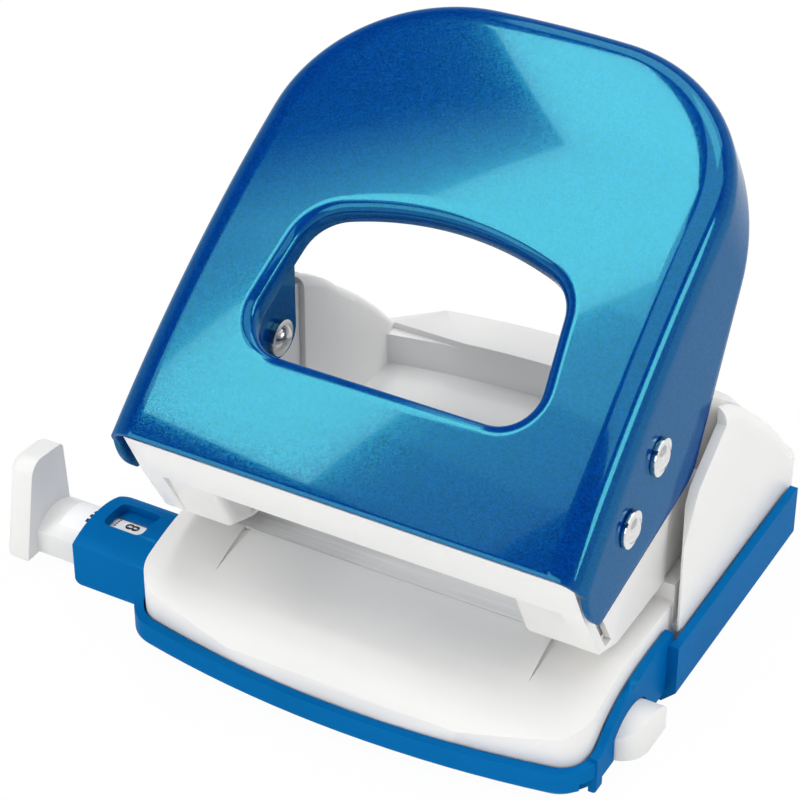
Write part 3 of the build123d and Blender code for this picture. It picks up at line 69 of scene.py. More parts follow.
MERGE_REACH = 0.000002
SMOOTH_ANGLE = math.radians(32)
EDGE_ANGLE = math.radians(34)
SHEET_EDGE_ANGLE = math.radians(40)
SHEET_EDGE = 0.00025
MOULDED_EDGE = 0.0004
TRAY_EDGE = 0.0005
PLATE_EDGE = 0.00012
HEAD_EDGE = 0.0002
TURNED_EDGE = 0.00015
RIVET_EDGE = 0.00018
EDGE_STEPS = 2
COIL_STEPS = 48
WIRE_SIDES = 16
NOISE_SPAN = (0.3, 0.7)
DRIFT_SCALE = 35.0
ROUGH_SPREAD = (-0.05, 0.05)
METAL_SPREAD = (-0.06, 0.08)
METAL_TONE = (0.82, 1.0)
LAMP_HEIGHT = 0.9
# Part of a fading lamp's length over which its limit rises
LIMIT_SPAN = (0.5, 0.75)
STRIP_SLANT = math.radians(-23.6)
END_SLANT = math.radians(20.0)
FLOOR_REACH = 4.0
FLOOR_ROUGHNESS = 0.9
# Upward share of the direction, and grey of the sky there
HORIZON = (0.12, 0.6)
OVERHEAD = (0.62, 0.04)
SENSOR_WIDTH = 36.0


# Settings


def length(name, description, default):
    """A size in metres that a user may change."""
    return FloatProperty(name=name, description=description, default=default, unit="LENGTH", precision=5)


def share(name, description, default):
    """A plain number between nought and one."""
    return FloatProperty(name=name, description=description, default=default, min=0.0, max=1.0)


def colour(name, description, default):
    """A linear colour."""
    return FloatVectorProperty(
        name=name, description=description, default=default, subtype="COLOR", size=3, min=0.0, max=1.0
    )


def point(name, description, default):
    """A place in the shared frame."""
    return FloatVectorProperty(name=name, description=description, default=default, subtype="TRANSLATION")


def whole(name, description, default):
    """A whole number from one up."""
    return IntProperty(name=name, description=description, default=default, min=1)


def plain(name, description, default):
    """A plain number."""
    return FloatProperty(name=name, description=description, default=default)


class LeverSizes(bpy.types.PropertyGroup):
    """Sizes of the pressed lever."""

    foot_y: length("Foot depth", "Front edge of the panel along Y", -0.034)
    foot_z: length("Foot height", "Front edge of the panel above the table", 0.056)
    top_y: length("Top depth", "Rear end of the panel along Y", 0.0572)
    top_z: length("Top height", "Rear end of the panel above the table", 0.1155)
    crown: length("Panel crown", "Rise of the curved panel over its chord", 0.0055)
    top_rise: length("Arch rise", "Rise of the arched top edge", 0.004)
    half_width: length("Half width", "Half the width at the foot", 0.051)
    taper: share("Side taper", "Narrowing of each side per unit of length", 0.03)
    corner: length("Corner radius", "Radius of the two top corners", 0.036)
    bend: length("Bend radius", "Outer radius between panel and sides", 0.006)
    sheet: length("Sheet", "Thickness of the sheet", 0.0012)
    tip_y: length("Tip depth", "Lower front tip of the sides along Y", -0.0253)
    tip_z: length("Tip height", "Lower front tip of the sides above the table", 0.0408)
    heel_y: length("Heel depth", "Lower rear heel of the sides along Y", 0.0185)
    heel_z: length("Heel height", "Lower rear heel of the sides above the table", 0.0468)
    heel_radius: length("Heel radius", "Rounding of the heel", 0.008)
    tip_radius: length("Tip radius", "Rounding of the tip", 0.0025)
    top_depth: length("Top flange", "Depth of the turned edge at the top", 0.005)
    front_bow: length("Front bow", "Bow of the front edges of the sides", 0.001)
    opening_foot: length("Opening foot", "Lower edge of the hand opening along the panel", 0.0235)
    opening_shoulder: length("Opening shoulder", "Upper corners of the hand opening along the panel", 0.0525)
    opening_crown: length("Opening crown", "Rise of the opening's upper edge", 0.006)
    opening_foot_half: length("Opening foot half width", "Half the width of the lower edge", 0.0315)
    opening_head_half: length("Opening head half width", "Half the width at the upper corners", 0.0275)
    opening_foot_radius: length("Opening lower radius", "Radius of the lower corners", 0.008)
    opening_head_radius: length("Opening upper radius", "Radius of the upper corners", 0.010)
    opening_edge: length("Opening edge radius", "Rounding of the opening's edge", 0.0024)
    lip: length("Opening lip", "Depth of the turned lip round the opening", 0.005)
    ear_inner: length("Ear place", "Inner face of the ears beside the opening along X", 0.032)
    ear_reach: length("Ear reach", "Half the width of an ear along Y", 0.007)
    ear_foot: length("Ear foot", "Lower end of the ears above the table", 0.0578)
    ear_round: length("Ear corner", "Rounding of an ear's lower corners", 0.0045)


class SpringSizes(bpy.types.PropertyGroup):
    """Sizes of the two return springs."""

    turns: whole("Turns", "Number of turns", 5)
    mean_radius: length("Mean radius", "Radius of the wire's centre line", 0.0046)
    wire_radius: length("Wire radius", "Half the wire's thickness", 0.0005)
    low: length("Lower end", "Height of the lowest wire centre", 0.0434)
    high: length("Upper end", "Height of the highest wire centre", 0.0562)
    keep: share("Pressed share", "Share of the length that is left when the lever is down", 0.52)


class LabelSizes(bpy.types.PropertyGroup):
    """Print on the format strip."""

    number: StringProperty(name="Number", description="Plain number printed on the strip", default="8")
    number_height: length("Number height", "Height of the printed figure", 0.0042)
    number_weight: length("Number weight", "Thickening of the figure's strokes", 0.00013)
    number_place: length("Number place", "Middle of the figure along X", -0.0632)
    line_place: length("Line place", "Dashed line beside the figure along X", -0.0667)
    next_line_place: length("Next line place", "Dashed line of the next number along X", -0.0727)
    middle: length("Print middle", "Middle of the print along Y", -0.0097)
    ink: length("Ink", "Thickness of the print", 0.00004)
    crest_radius: length("Crest radius", "Radius of the strip's rounded top", 0.0097)
    dashes: whole("Dashes", "Number of dashes in a line", 4)
    dash_length: length("Dash length", "Length of one dash", 0.00045)
    dash_width: length("Dash width", "Width of one dash", 0.00036)
    dash_pitch: length("Dash pitch", "Distance from dash to dash", 0.00074)
    next_line_scale: plain("Next line scale", "Size of the next line's dashes", 2.2)


class Finishes(bpy.types.PropertyGroup):
    """Colours of the finishes."""

    lacquer: colour("Lacquer", "Deep colour of the lever's lacquer", (0.0003, 0.037, 0.218))
    lacquer_sheen: colour("Lacquer sheen", "Light that the flakes send back", (0.018, 0.20, 0.19))
    blue_sheen: colour("Blue sheen", "Colour of the gloss on the blue mouldings", (0.01, 0.10, 0.14))
    white: colour("White moulding", "Base, bridge and rail", (0.83, 0.825, 0.81))
    blue: colour("Blue moulding", "Chip tray and rail sleeve", (0.0003, 0.118, 0.385))
    steel: colour("Steel", "Plates and punches", (0.56, 0.56, 0.57))
    satin: colour("Satin plating", "Die plate", (0.78, 0.78, 0.77))
    dark_steel: colour("Dark steel", "Bushes, screws and pins", (0.20, 0.20, 0.21))
    bright: colour("Bright metal", "Rivets and caps", (0.80, 0.80, 0.80))
    paper: colour("Label paper", "Ground of the format strip", (0.86, 0.86, 0.85))
    ink: colour("Label ink", "Print on the format strip", (0.01, 0.01, 0.012))


class StageSettings(bpy.types.PropertyGroup):
    """Camera and floor."""

    camera: point("Camera", "Camera place", (0.21217, -0.38857, 0.36734))
    target: point("Target", "Point in the middle of the picture", (-0.00393, -0.001, 0.0582))
    lens: plain("Lens", "Focal length in millimetres on a 36 mm sensor", 126.0)
    floor: colour("Floor", "Pale floor", (0.86, 0.86, 0.86))
    floor_glow: share("Floor glow", "Share of plain white in the floor as seen and mirrored", 0.97)


def settings(context):
    """All settings of the scene."""
    return context.scene.punch_settings


class PunchSettings(bpy.types.PropertyGroup):
    """The groups of settings in one place."""

    lever: PointerProperty(type=LeverSizes)
    spring: PointerProperty(type=SpringSizes)
    label: PointerProperty(type=LabelSizes)
    finish: PointerProperty(type=Finishes)
    stage: PointerProperty(type=StageSettings)


# Nodes


def link(tree, source, target):
    """Links two sockets."""
    tree.links.new(source, target)


def add_node(tree, kind, values, **options):
    """New node with its options set, and each socket given a plain value or a link."""
    node = tree.nodes.new(kind)
    for key, value in options.items():
        setattr(node, key, value)
    for key, value in values.items():
        if isinstance(value, bpy.types.NodeSocket):
            link(tree, value, node.inputs[key])
        else:
            node.inputs[key].default_value = value
    return node


def math_node(tree, operation, *values):
    """Result of one step of arithmetic."""
    return add_node(tree, "ShaderNodeMath", dict(enumerate(values)), operation=operation).outputs[0]


def noise(tree, vector, scale, detail, roughness):
    """Noise on the given coordinates."""
    values = {"Vector": vector, "Scale": scale, "Detail": detail, "Roughness": roughness}
    return add_node(tree, "ShaderNodeTexNoise", values).outputs["Fac"]


def map_range(tree, value, low, high, to_low, to_high):
    """Maps a value from one range to another."""
    values = {"Value": value, "From Min": low, "From Max": high, "To Min": to_low, "To Max": to_high}
    return add_node(tree, "ShaderNodeMapRange", values).outputs["Result"]


def surface_group(name, sockets):
    """New shader group with the usual sockets and some of its own."""
    tree = bpy.data.node_groups.new(name, "ShaderNodeTree")
    result = {"Colour": COLOUR, "Roughness": FLOAT, "Height": FLOAT}
    given = {"Vector": VECTOR, "Colour": COLOUR, **sockets, "Roughness": FLOAT}
    for way, kinds in (("INPUT", given), ("OUTPUT", result)):
        for socket, kind in kinds.items():
            tree.interface.new_socket(name=socket, in_out=way, socket_type=kind)
    return tree, tree.nodes.new("NodeGroupInput").outputs


def end_surface(tree, inputs, tone, spread, height):
    """Ends a shader group with its toned colour, spread roughness and relief."""
    shade = add_node(tree, "ShaderNodeCombineColor", {"Red": tone, "Green": tone, "Blue": tone})
    # A mix node's colours are its sockets 6 and 7, and its output 2
    toned = add_node(
        tree, "ShaderNodeMix", {0: 1.0, 6: inputs["Colour"], 7: shade.outputs[0]},
        data_type="RGBA", blend_type="MULTIPLY",
    )
    rough = math_node(tree, "ADD", inputs["Roughness"], spread)
    add_node(tree, "NodeGroupOutput", {"Colour": toned.outputs[2], "Roughness": rough, "Height": height})
    return tree


def moulding_group():
    """Fine spark texture, slow colour drift and uneven roughness of a moulding."""
    tree, inputs = surface_group("moulded_surface", {"Grain Scale": FLOAT, "Tone": FLOAT})
    drift = noise(tree, inputs["Vector"], DRIFT_SCALE, detail=3.0, roughness=0.5)
    grain = noise(tree, inputs["Vector"], inputs["Grain Scale"], detail=2.0, roughness=0.6)
    tone = map_range(tree, drift, *NOISE_SPAN, math_node(tree, "SUBTRACT", 1.0, inputs["Tone"]), 1.0)
    return end_surface(tree, inputs, tone, map_range(tree, grain, *NOISE_SPAN, *ROUGH_SPREAD), grain)


def flake_group():
    """Metal flakes in lacquer: tiny cells of different brightness, roughness and height."""
    tree, inputs = surface_group("lacquer_flakes", {"Flake Scale": FLOAT, "Contrast": FLOAT})
    cells = add_node(
        tree, "ShaderNodeTexVoronoi", {"Vector": inputs["Vector"], "Scale": inputs["Flake Scale"]}
    )
    split = add_node(tree, "ShaderNodeSeparateColor", {0: cells.outputs["Color"]}).outputs
    low, high = (math_node(tree, kind, 1.0, inputs["Contrast"]) for kind in ("SUBTRACT", "ADD"))
    tone = map_range(tree, split[0], 0.0, 1.0, low, high)
    return end_surface(tree, inputs, tone, map_range(tree, split[1], 0.0, 1.0, *ROUGH_SPREAD), split[2])


def drawn_metal_group():
    """Fine lines along one axis, as rolling, drawing or turning leaves them."""
    tree, inputs = surface_group("drawn_metal", {"Line Stretch": VECTOR})
    stretch = add_node(
        tree, "ShaderNodeVectorMath", {0: inputs["Vector"], 1: inputs["Line Stretch"]}, operation="MULTIPLY"
    )
    lines = noise(tree, stretch.outputs[0], 1.0, detail=3.0, roughness=0.6)
    tone = map_range(tree, lines, *NOISE_SPAN, *METAL_TONE)
    return end_surface(tree, inputs, tone, map_range(tree, lines, *NOISE_SPAN, *METAL_SPREAD), lines)


GROUP_MAKERS = {
    "moulded_surface": moulding_group,
    "lacquer_flakes": flake_group,
    "drawn_metal": drawn_metal_group,
}

# Each finish: shader group, colour setting, values of the group, bump strength and height,
# and values of the shader, where a name stands for a colour setting
FINISH_TABLE = {
    "blue_lacquer": (
        "lacquer_flakes", "lacquer", {"Flake Scale": 3200.0, "Contrast": 0.3, "Roughness": 0.085},
        (0.12, 0.00003),
        {"IOR": 4.0, "Specular Tint": "lacquer_sheen", "Coat Weight": 0.16, "Coat Roughness": 0.02},
    ),
    "white_moulding": (
        "moulded_surface", "white", {"Grain Scale": 2200.0, "Tone": 0.03, "Roughness": 0.36},
        (0.05, 0.00003), {"IOR": 1.5},
    ),
    "blue_moulding": (
        "moulded_surface", "blue", {"Grain Scale": 1600.0, "Tone": 0.12, "Roughness": 0.34},
        (0.12, 0.00004), {"IOR": 4.0, "Specular Tint": "blue_sheen"},
    ),
    "rolled_steel": (
        "drawn_metal", "steel", {"Line Stretch": (60.0, 3000.0, 3000.0), "Roughness": 0.28},
        (0.08, 0.00002), {"Metallic": 1.0},
    ),
    "satin_steel": (
        "drawn_metal", "satin", {"Line Stretch": (40.0, 1200.0, 1200.0), "Roughness": 0.55},
        (0.04, 0.00002), {"Metallic": 0.8},
    ),
    "dark_steel": (
        "drawn_metal", "dark_steel", {"Line Stretch": (900.0, 900.0, 4000.0), "Roughness": 0.35},
        (0.08, 0.00002), {"Metallic": 1.0},
    ),
    "ground_steel": (
        "drawn_metal", "steel", {"Line Stretch": (150.0, 150.0, 4000.0), "Roughness": 0.2},
        (0.06, 0.00002), {"Metallic": 1.0},
    ),
    "bright_plating": (
        "drawn_metal", "bright", {"Line Stretch": (800.0, 800.0, 800.0), "Roughness": 0.13},
        (0.02, 0.00001), {"Metallic": 1.0},
    ),
    "label_paper": (
        "moulded_surface", "paper", {"Grain Scale": 1800.0, "Tone": 0.05, "Roughness": 0.6},
        (0.1, 0.00002), {"IOR": 1.45},
    ),
    "label_ink": (
        "moulded_surface", "ink", {"Grain Scale": 3000.0, "Tone": 0.3, "Roughness": 0.5},
        (0.05, 0.00001), {"IOR": 1.45},
    ),
}


def finish_material(name):
    """Material of a named finish, with a shared surface group before its own shader."""
    material = bpy.data.materials.get(name)
    if material:
        return material
    finish = settings(bpy.context).finish
    group_name, tint, values, (strength, distance), fixed = FINISH_TABLE[name]
    tint = (*getattr(finish, tint), 1.0)
    material = bpy.data.materials.new(name)
    material.use_nodes = True
    tree = material.node_tree
    shader = tree.nodes["Principled BSDF"].inputs
    place = tree.nodes.new("ShaderNodeTexCoord")
    group = bpy.data.node_groups.get(group_name) or GROUP_MAKERS[group_name]()
    values = {"Vector": place.outputs["Object"], "Colour": tint, **values}
    surface = add_node(tree, "ShaderNodeGroup", values, node_tree=group)
    relief = add_node(tree, "ShaderNodeBump", {
        "Strength": strength, "Distance": distance, "Height": surface.outputs["Height"],
    })
    link(tree, surface.outputs["Colour"], shader["Base Color"])
    link(tree, surface.outputs["Roughness"], shader["Roughness"])
    link(tree, relief.outputs["Normal"], shader["Normal"])
    for key, value in fixed.items():
        shader[key].default_value = (*getattr(finish, value), 1.0) if isinstance(value, str) else value
    material.diffuse_color = tint
    return material


# Mesh helpers


def geometry_tree(name, sockets):
    """New Geometry Nodes tree with a geometry input and output and inputs of its own."""
    tree = bpy.data.node_groups.new(name, "GeometryNodeTree")
    for socket, kind in {"Geometry": GEOMETRY, **sockets}.items():
        tree.interface.new_socket(name=socket, in_out="INPUT", socket_type=kind)
    tree.interface.new_socket(name="Geometry", in_out="OUTPUT", socket_type=GEOMETRY)
    return tree, tree.nodes.new("NodeGroupInput").outputs


def end_geometry(tree, inputs, geometry):
    """Ends a tree with real geometry in the material of its input."""
    real = add_node(tree, "GeometryNodeRealizeInstances", {"Geometry": geometry})
    painted = add_node(tree, "GeometryNodeSetMaterial", {
        "Geometry": real.outputs["Geometry"], "Material": inputs["Material"],
    })
    add_node(tree, "NodeGroupOutput", {"Geometry": painted.outputs["Geometry"]})
    return tree


def smooth_tree():
    """Tree that shades a mesh smooth and keeps its sharper edges."""
    tree = bpy.data.node_groups.get("smooth_below_angle")
    if tree:
        return tree
    tree, inputs = geometry_tree("smooth_below_angle", {})
    angle = tree.nodes.new("GeometryNodeInputMeshEdgeAngle").outputs["Unsigned Angle"]
    sharp = add_node(tree, "FunctionNodeCompare", {0: angle, 1: SMOOTH_ANGLE}).outputs["Result"]
    faces = add_node(tree, "GeometryNodeSetShadeSmooth", {"Geometry": inputs["Geometry"]}).outputs["Geometry"]
    edges = add_node(
        tree, "GeometryNodeSetShadeSmooth", {"Geometry": faces, "Selection": sharp, "Shade Smooth": False},
        domain="EDGE",
    )
    add_node(tree, "NodeGroupOutput", {"Geometry": edges.outputs["Geometry"]})
    return tree


def add_object(name, data):
    """New object in the scene."""
    holder = bpy.data.objects.new(name, data)
    bpy.context.scene.collection.objects.link(holder)
    return holder


def soften(piece, name, width, angle):
    """Rounds the edges sharper than an angle."""
    bevel = piece.modifiers.new(name, "BEVEL")
    bevel.width = width
    bevel.segments = EDGE_STEPS
    bevel.limit_method = "ANGLE"
    bevel.angle_limit = angle
    bevel.use_clamp_overlap = True


def dress(node_name, finish_name, edge):
    """Gives a carried-over node its finish, merged corners and soft edges."""
    piece = NODES[node_name]
    piece.data.materials.clear()
    piece.data.materials.append(finish_material(finish_name))
    piece.modifiers.new("merge_corners", "WELD").merge_threshold = MERGE_REACH
    if edge:
        soften(piece, "soft_edges", edge, EDGE_ANGLE)
    piece.modifiers.new("smooth", "NODES").node_group = smooth_tree()


def add_piece(name, mesh, finish_name, body, stands_for=()):
    """Links a finished mesh as a piece of the object."""
    mesh.materials.clear()
    mesh.materials.append(finish_material(finish_name))
    piece = add_object(name, mesh)
    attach(piece, body)
    if stands_for:
        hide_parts(*stands_for)
    return piece


# Lever mesh


def arc_points(centre, radius, start, end, count):
    """Points and outward directions along an arc between two directions."""
    first = math.atan2(start[1], start[0])
    turn = math.atan2(end[1], end[0]) - first
    turn = (turn + math.pi) % (2 * math.pi) - math.pi
    angles = first + turn * np.linspace(0, 1, count)
    directions = np.stack([np.cos(angles), np.sin(angles)], 1)
    return np.array(centre) + radius * directions, directions


class ArchedOutline:
    """Right half of an outline with straight leaning sides and an arched top."""

    def __init__(self, foot_half, head_half, foot, head, top, corner):
        self.start = np.array([foot_half, foot])
        way = np.array([head_half, head]) - self.start
        self.way = way / np.linalg.norm(way)
        self.out = np.array([self.way[1], -self.way[0]])
        rise = top - head
        self.arch = (head_half ** 2 + rise ** 2) / (2 * rise)
        self.arch_centre = np.array([0.0, top - self.arch])
        lead = self.start - self.out * corner - self.arch_centre
        along = -lead @ self.way + math.sqrt((lead @ self.way) ** 2 - lead @ lead + (self.arch - corner) ** 2)
        self.corner = corner
        self.corner_centre = self.start + self.way * along - self.out * corner
        to_arch = self.corner_centre - self.arch_centre
        self.arch_way = to_arch / np.linalg.norm(to_arch)
        self.side_end = (self.corner_centre + self.out * corner)[1]

    def side(self, height):
        """Point of the straight side at a height along the panel."""
        step = (height - self.start[1]) / self.way[1]
        return self.start + self.way * step

    def top(self, corner_count, arch_count):
        """Points and directions of the corner and half of the arch, in order."""
        bend = arc_points(self.corner_centre, self.corner, self.out, self.arch_way, corner_count)
        arch = arc_points(self.arch_centre, self.arch, self.arch_way, (0.0, 1.0), arch_count)
        return np.vstack([bend[0], arch[0][1:]]), np.vstack([bend[1], arch[1][1:]])


def round_corner(before, corner, after, radius, count):
    """Points of a rounded corner between two straight lines."""
    first = (before - corner) / np.linalg.norm(before - corner)
    second = (after - corner) / np.linalg.norm(after - corner)
    half = math.acos(float(np.clip(first @ second, -1, 1))) / 2
    middle = (first + second) / np.linalg.norm(first + second)
    centre = corner + middle * radius / math.sin(half)
    start = corner + first * radius / math.tan(half) - centre
    end = corner + second * radius / math.tan(half) - centre
    return arc_points(centre, radius, start, end, count)[0]


class LeverShape:
    """All curves and surfaces of the pressed lever, in the panel's own directions."""

    # Columns round the outline, rows across the sheet and steps of the smaller curves
    COLUMNS_SIDE = 44
    COLUMNS_CORNER = 40
    COLUMNS_ARCH = 18
    COLUMNS_FOOT = 56
    ROWS_EDGE = 6
    ROWS_SKIN = 22
    ROWS_BEND = 10
    ROWS_WALL = 14
    CORNER_STEPS = 9
    HEEL_STEPS = 17
    OPENING_FOOT_STEPS = 60
    OPENING_TOP_STEPS = 80
    EAR_STEPS = 15
    SKIN_SAMPLES = 400
    BEND_PASSES = 4
    # Reach of the blend above the foot, and share of the lower edge that runs on past the top
    BLEND = 0.014
    OVERSHOOT = 0.2

    def __init__(self, sizes):
        self.sizes = sizes
        self.foot = Vector((0, sizes.foot_y, sizes.foot_z))
        up = Vector((0, sizes.top_y, sizes.top_z)) - self.foot
        self.length = up.length
        self.along = up.normalized()
        self.normal = Vector((0, -self.along.z, self.along.y))
        self.radius = (self.length ** 2 / 4 + sizes.crown ** 2) / (2 * sizes.crown)
        head = self.length - sizes.top_rise
        self.outline = ArchedOutline(
            sizes.half_width, sizes.half_width - sizes.taper * head, 0.0, head, self.length, sizes.corner
        )
        self.edge = self.lower_edge()

    def flat(self, y, z):
        """A place in the side view, along and above the panel's chord."""
        place = Vector((0, y, z)) - self.foot
        return np.array([place.dot(self.along), place.dot(self.normal)])

    def lower_edge(self):
        """Lower edge of the sides from the tip to beyond the top."""
        sizes = self.sizes
        tip, heel = self.flat(sizes.tip_y, sizes.tip_z), self.flat(sizes.heel_y, sizes.heel_z)
        top = np.array([self.length, -sizes.top_depth])
        beyond = top + (top - heel) * self.OVERSHOOT
        tip_round = round_corner(np.zeros(2), tip, heel, sizes.tip_radius, self.CORNER_STEPS)
        heel_round = round_corner(tip, heel, top, sizes.heel_radius, self.HEEL_STEPS)
        return np.vstack([tip_round[self.CORNER_STEPS // 2:], heel_round, beyond[None]])

    def skin(self, place, depth=0.0):
        """Height of the curved panel at a place along it, at a depth below the skin."""
        radius = self.radius - depth
        return self.sizes.crown - self.radius + np.sqrt(radius ** 2 - (place - self.length / 2) ** 2)

    def columns(self):
        """Places and outward directions of all columns, from the left foot round to the right."""
        heights = np.linspace(0, self.outline.side_end, self.COLUMNS_SIDE)[:-1]
        side = np.array([self.outline.side(h) for h in heights])
        side_out = np.tile(self.outline.out, (len(side), 1))
        top, top_out = self.outline.top(self.COLUMNS_CORNER, self.COLUMNS_ARCH)
        right, out = np.vstack([side, top]), np.vstack([side_out, top_out])
        flip = np.array([-1.0, 1.0])
        return np.vstack([right * flip, right[-2::-1]]), np.vstack([out * flip, out[-2::-1]])

    def slide(self, places, shift):
        """Columns near the foot moved along the straight sides, less and less away from it."""
        share_left = np.clip(1 - places[:, 1] / self.BLEND, 0, 1)
        moved = places.copy()
        heights = places[:, 1] + shift * share_left
        side = np.array([self.outline.side(h)[0] for h in heights])
        near = share_left > 0
        moved[near, 0] = np.sign(places[near, 0]) * side[near]
        moved[near, 1] = heights[near]
        return moved

    def bend_row(self, places, out, turn, depth):
        """One row of the bend between skin and side."""
        radius = self.sizes.bend
        shift = 0.0
        for _ in range(self.BEND_PASSES):
            moved = self.slide(places, shift)
            centre = moved - radius * out
            height = self.skin(centre[:, 1], radius)
            up = self.skin_normal(centre[:, 1], radius)
            wall = np.stack([out[:, 0], out[:, 1], np.zeros(len(out))], 1)
            angle = np.arccos(np.clip((up * wall).sum(1), -1, 1))
            up_share, wall_share = (np.sin(part * angle) / np.sin(angle) for part in (1 - turn, turn))
            ray = up_share[:, None] * up + wall_share[:, None] * wall
            points = np.stack([centre[:, 0], centre[:, 1], height], 1) + (radius - depth) * ray
            shift = shift - points[0, 1]
        return points

    def skin_normal(self, place, depth):
        """Direction from the panel's axis to a place at a depth below the skin."""
        lean = (place - self.length / 2) / (self.radius - depth)
        return np.stack([np.zeros_like(lean), lean, np.sqrt(1 - lean ** 2)], -1)

    def wall_rows(self, places, out, depth):
        """Rows of the sides from the bend down to the lower edge."""
        top = self.bend_row(places, out, 1.0, depth)
        share_left = np.clip(1 - places[:, 1] / self.BLEND, 0, 1)
        near = share_left > 0
        edge_v, edge_w = self.edge.T
        index = np.arange(len(self.edge))
        step = (1 - share_left) * np.interp(self.BLEND, edge_v, index)
        end_v = np.where(near, np.interp(step, index, edge_v), places[:, 1])
        end_w = np.where(near, np.interp(step, index, edge_w), np.interp(places[:, 1], edge_v, edge_w))
        half = np.array([self.outline.side(v)[0] for v in end_v])
        end_u = np.where(near, np.sign(places[:, 0]) * (half - depth), top[:, 0])
        end = np.stack([end_u, np.where(near, end_v, top[:, 1]), end_w], 1)
        rows = []
        for row in range(1, self.ROWS_WALL + 1):
            part = row / self.ROWS_WALL
            points = top * (1 - part) + end * part
            points[:, 1] -= self.sizes.front_bow * 4 * part * (1 - part) * share_left
            rows.append(points)
        return rows

    def opening(self):
        """Closed outline of the hand opening as dense points with outward directions."""
        sizes = self.sizes
        arch = ArchedOutline(
            sizes.opening_foot_half, sizes.opening_head_half, sizes.opening_foot, sizes.opening_shoulder,
            sizes.opening_shoulder + sizes.opening_crown, sizes.opening_head_radius,
        )
        radius = sizes.opening_foot_radius
        step = (sizes.opening_foot + radius - (arch.start - arch.out * radius)[1]) / arch.way[1]
        centre = arch.start + arch.way * step - arch.out * radius
        low, low_out = arc_points(centre, radius, (0.0, -1.0), arch.out, self.OPENING_FOOT_STEPS)
        top, top_out = arch.top(self.OPENING_TOP_STEPS, self.OPENING_TOP_STEPS)
        points, out = np.vstack([low, top]), np.vstack([low_out, top_out])
        flip = np.array([-1.0, 1.0])
        return np.vstack([points, points[-2::-1] * flip]), np.vstack([out, out[-2::-1] * flip])

    def opening_hits(self, targets):
        """Where the rays from the opening's middle to the targets cross its outline."""
        points, out = self.opening()
        points, out = np.vstack([points, points[:1]]), np.vstack([out, out[:1]])
        middle = np.array([0.0, (self.sizes.opening_foot + self.sizes.opening_shoulder) / 2])
        angles = np.unwrap(np.arctan2(points[:, 1] - middle[1], points[:, 0]))
        wanted = np.arctan2(targets[:, 1] - middle[1], targets[:, 0])
        wanted = angles[0] + (wanted - angles[0]) % (2 * math.pi)
        hit = np.stack([np.interp(wanted, angles, points[:, k]) for k in (0, 1)], 1)
        way = np.stack([np.interp(wanted, angles, out[:, k]) for k in (0, 1)], 1)
        return hit, way / np.linalg.norm(way, axis=1)[:, None]

    def rings(self, depth):
        """Closed rings from the opening's lip to the panel's edge, then the open rows of the sides."""
        sizes = self.sizes
        places, out = self.columns()
        rim = self.bend_row(places, out, 0.0, depth)[:, :2]
        foot = np.linspace(rim[-1], rim[0], self.COLUMNS_FOOT + 2)[1:-1]
        border = np.vstack([rim, foot])
        hit, way = self.opening_hits(border)
        radius = sizes.opening_edge + depth
        lip = hit + way * depth
        rings = [np.column_stack([lip, self.skin(lip[:, 1], sizes.lip)])]
        for turn in np.linspace(0, 1, self.ROWS_EDGE):
            spot = hit + way * (depth + radius * (1 - math.cos(turn * math.pi / 2)))
            fall = depth + radius * (1 - math.sin(turn * math.pi / 2))
            rings.append(np.column_stack([spot, self.skin(spot[:, 1], fall)]))
        start = rings[-1][:, :2]
        for part in np.linspace(0, 1, self.ROWS_SKIN + 1)[1:]:
            spot = start * (1 - part) + border * part
            rings.append(np.column_stack([spot, self.skin(spot[:, 1], depth)]))
        turns = np.linspace(0, 1, self.ROWS_BEND + 1)[1:]
        rows = [self.bend_row(places, out, turn, depth) for turn in turns]
        rows += self.wall_rows(places, out, depth)
        return rings, rows

    def ear(self):
        """Side-view outline of an ear, from its rounded foot up into the sheet."""
        sizes = self.sizes
        places = np.linspace(0, self.length, self.SKIN_SAMPLES)
        skin = self.world(np.stack([np.zeros_like(places), places, self.skin(places, sizes.sheet / 2)], 1))
        across = np.linspace(-sizes.ear_reach, sizes.ear_reach, self.EAR_STEPS)
        top = np.stack([across, np.interp(across, skin[:, 1], skin[:, 2])], 1)
        front, rear = (np.array([side * sizes.ear_reach, sizes.ear_foot]) for side in (-1, 1))
        low = [
            round_corner(top[-1], rear, front, sizes.ear_round, self.CORNER_STEPS),
            round_corner(rear, front, top[0], sizes.ear_round, self.CORNER_STEPS),
        ]
        return np.vstack([top, *low])

    def world(self, points):
        """Points in the panel's directions, turned into the shared frame."""
        across, along, normal = np.array([1.0, 0, 0]), np.array(self.along), np.array(self.normal)
        return np.array(self.foot) + points[:, :1] * across + points[:, 1:2] * along + points[:, 2:] * normal


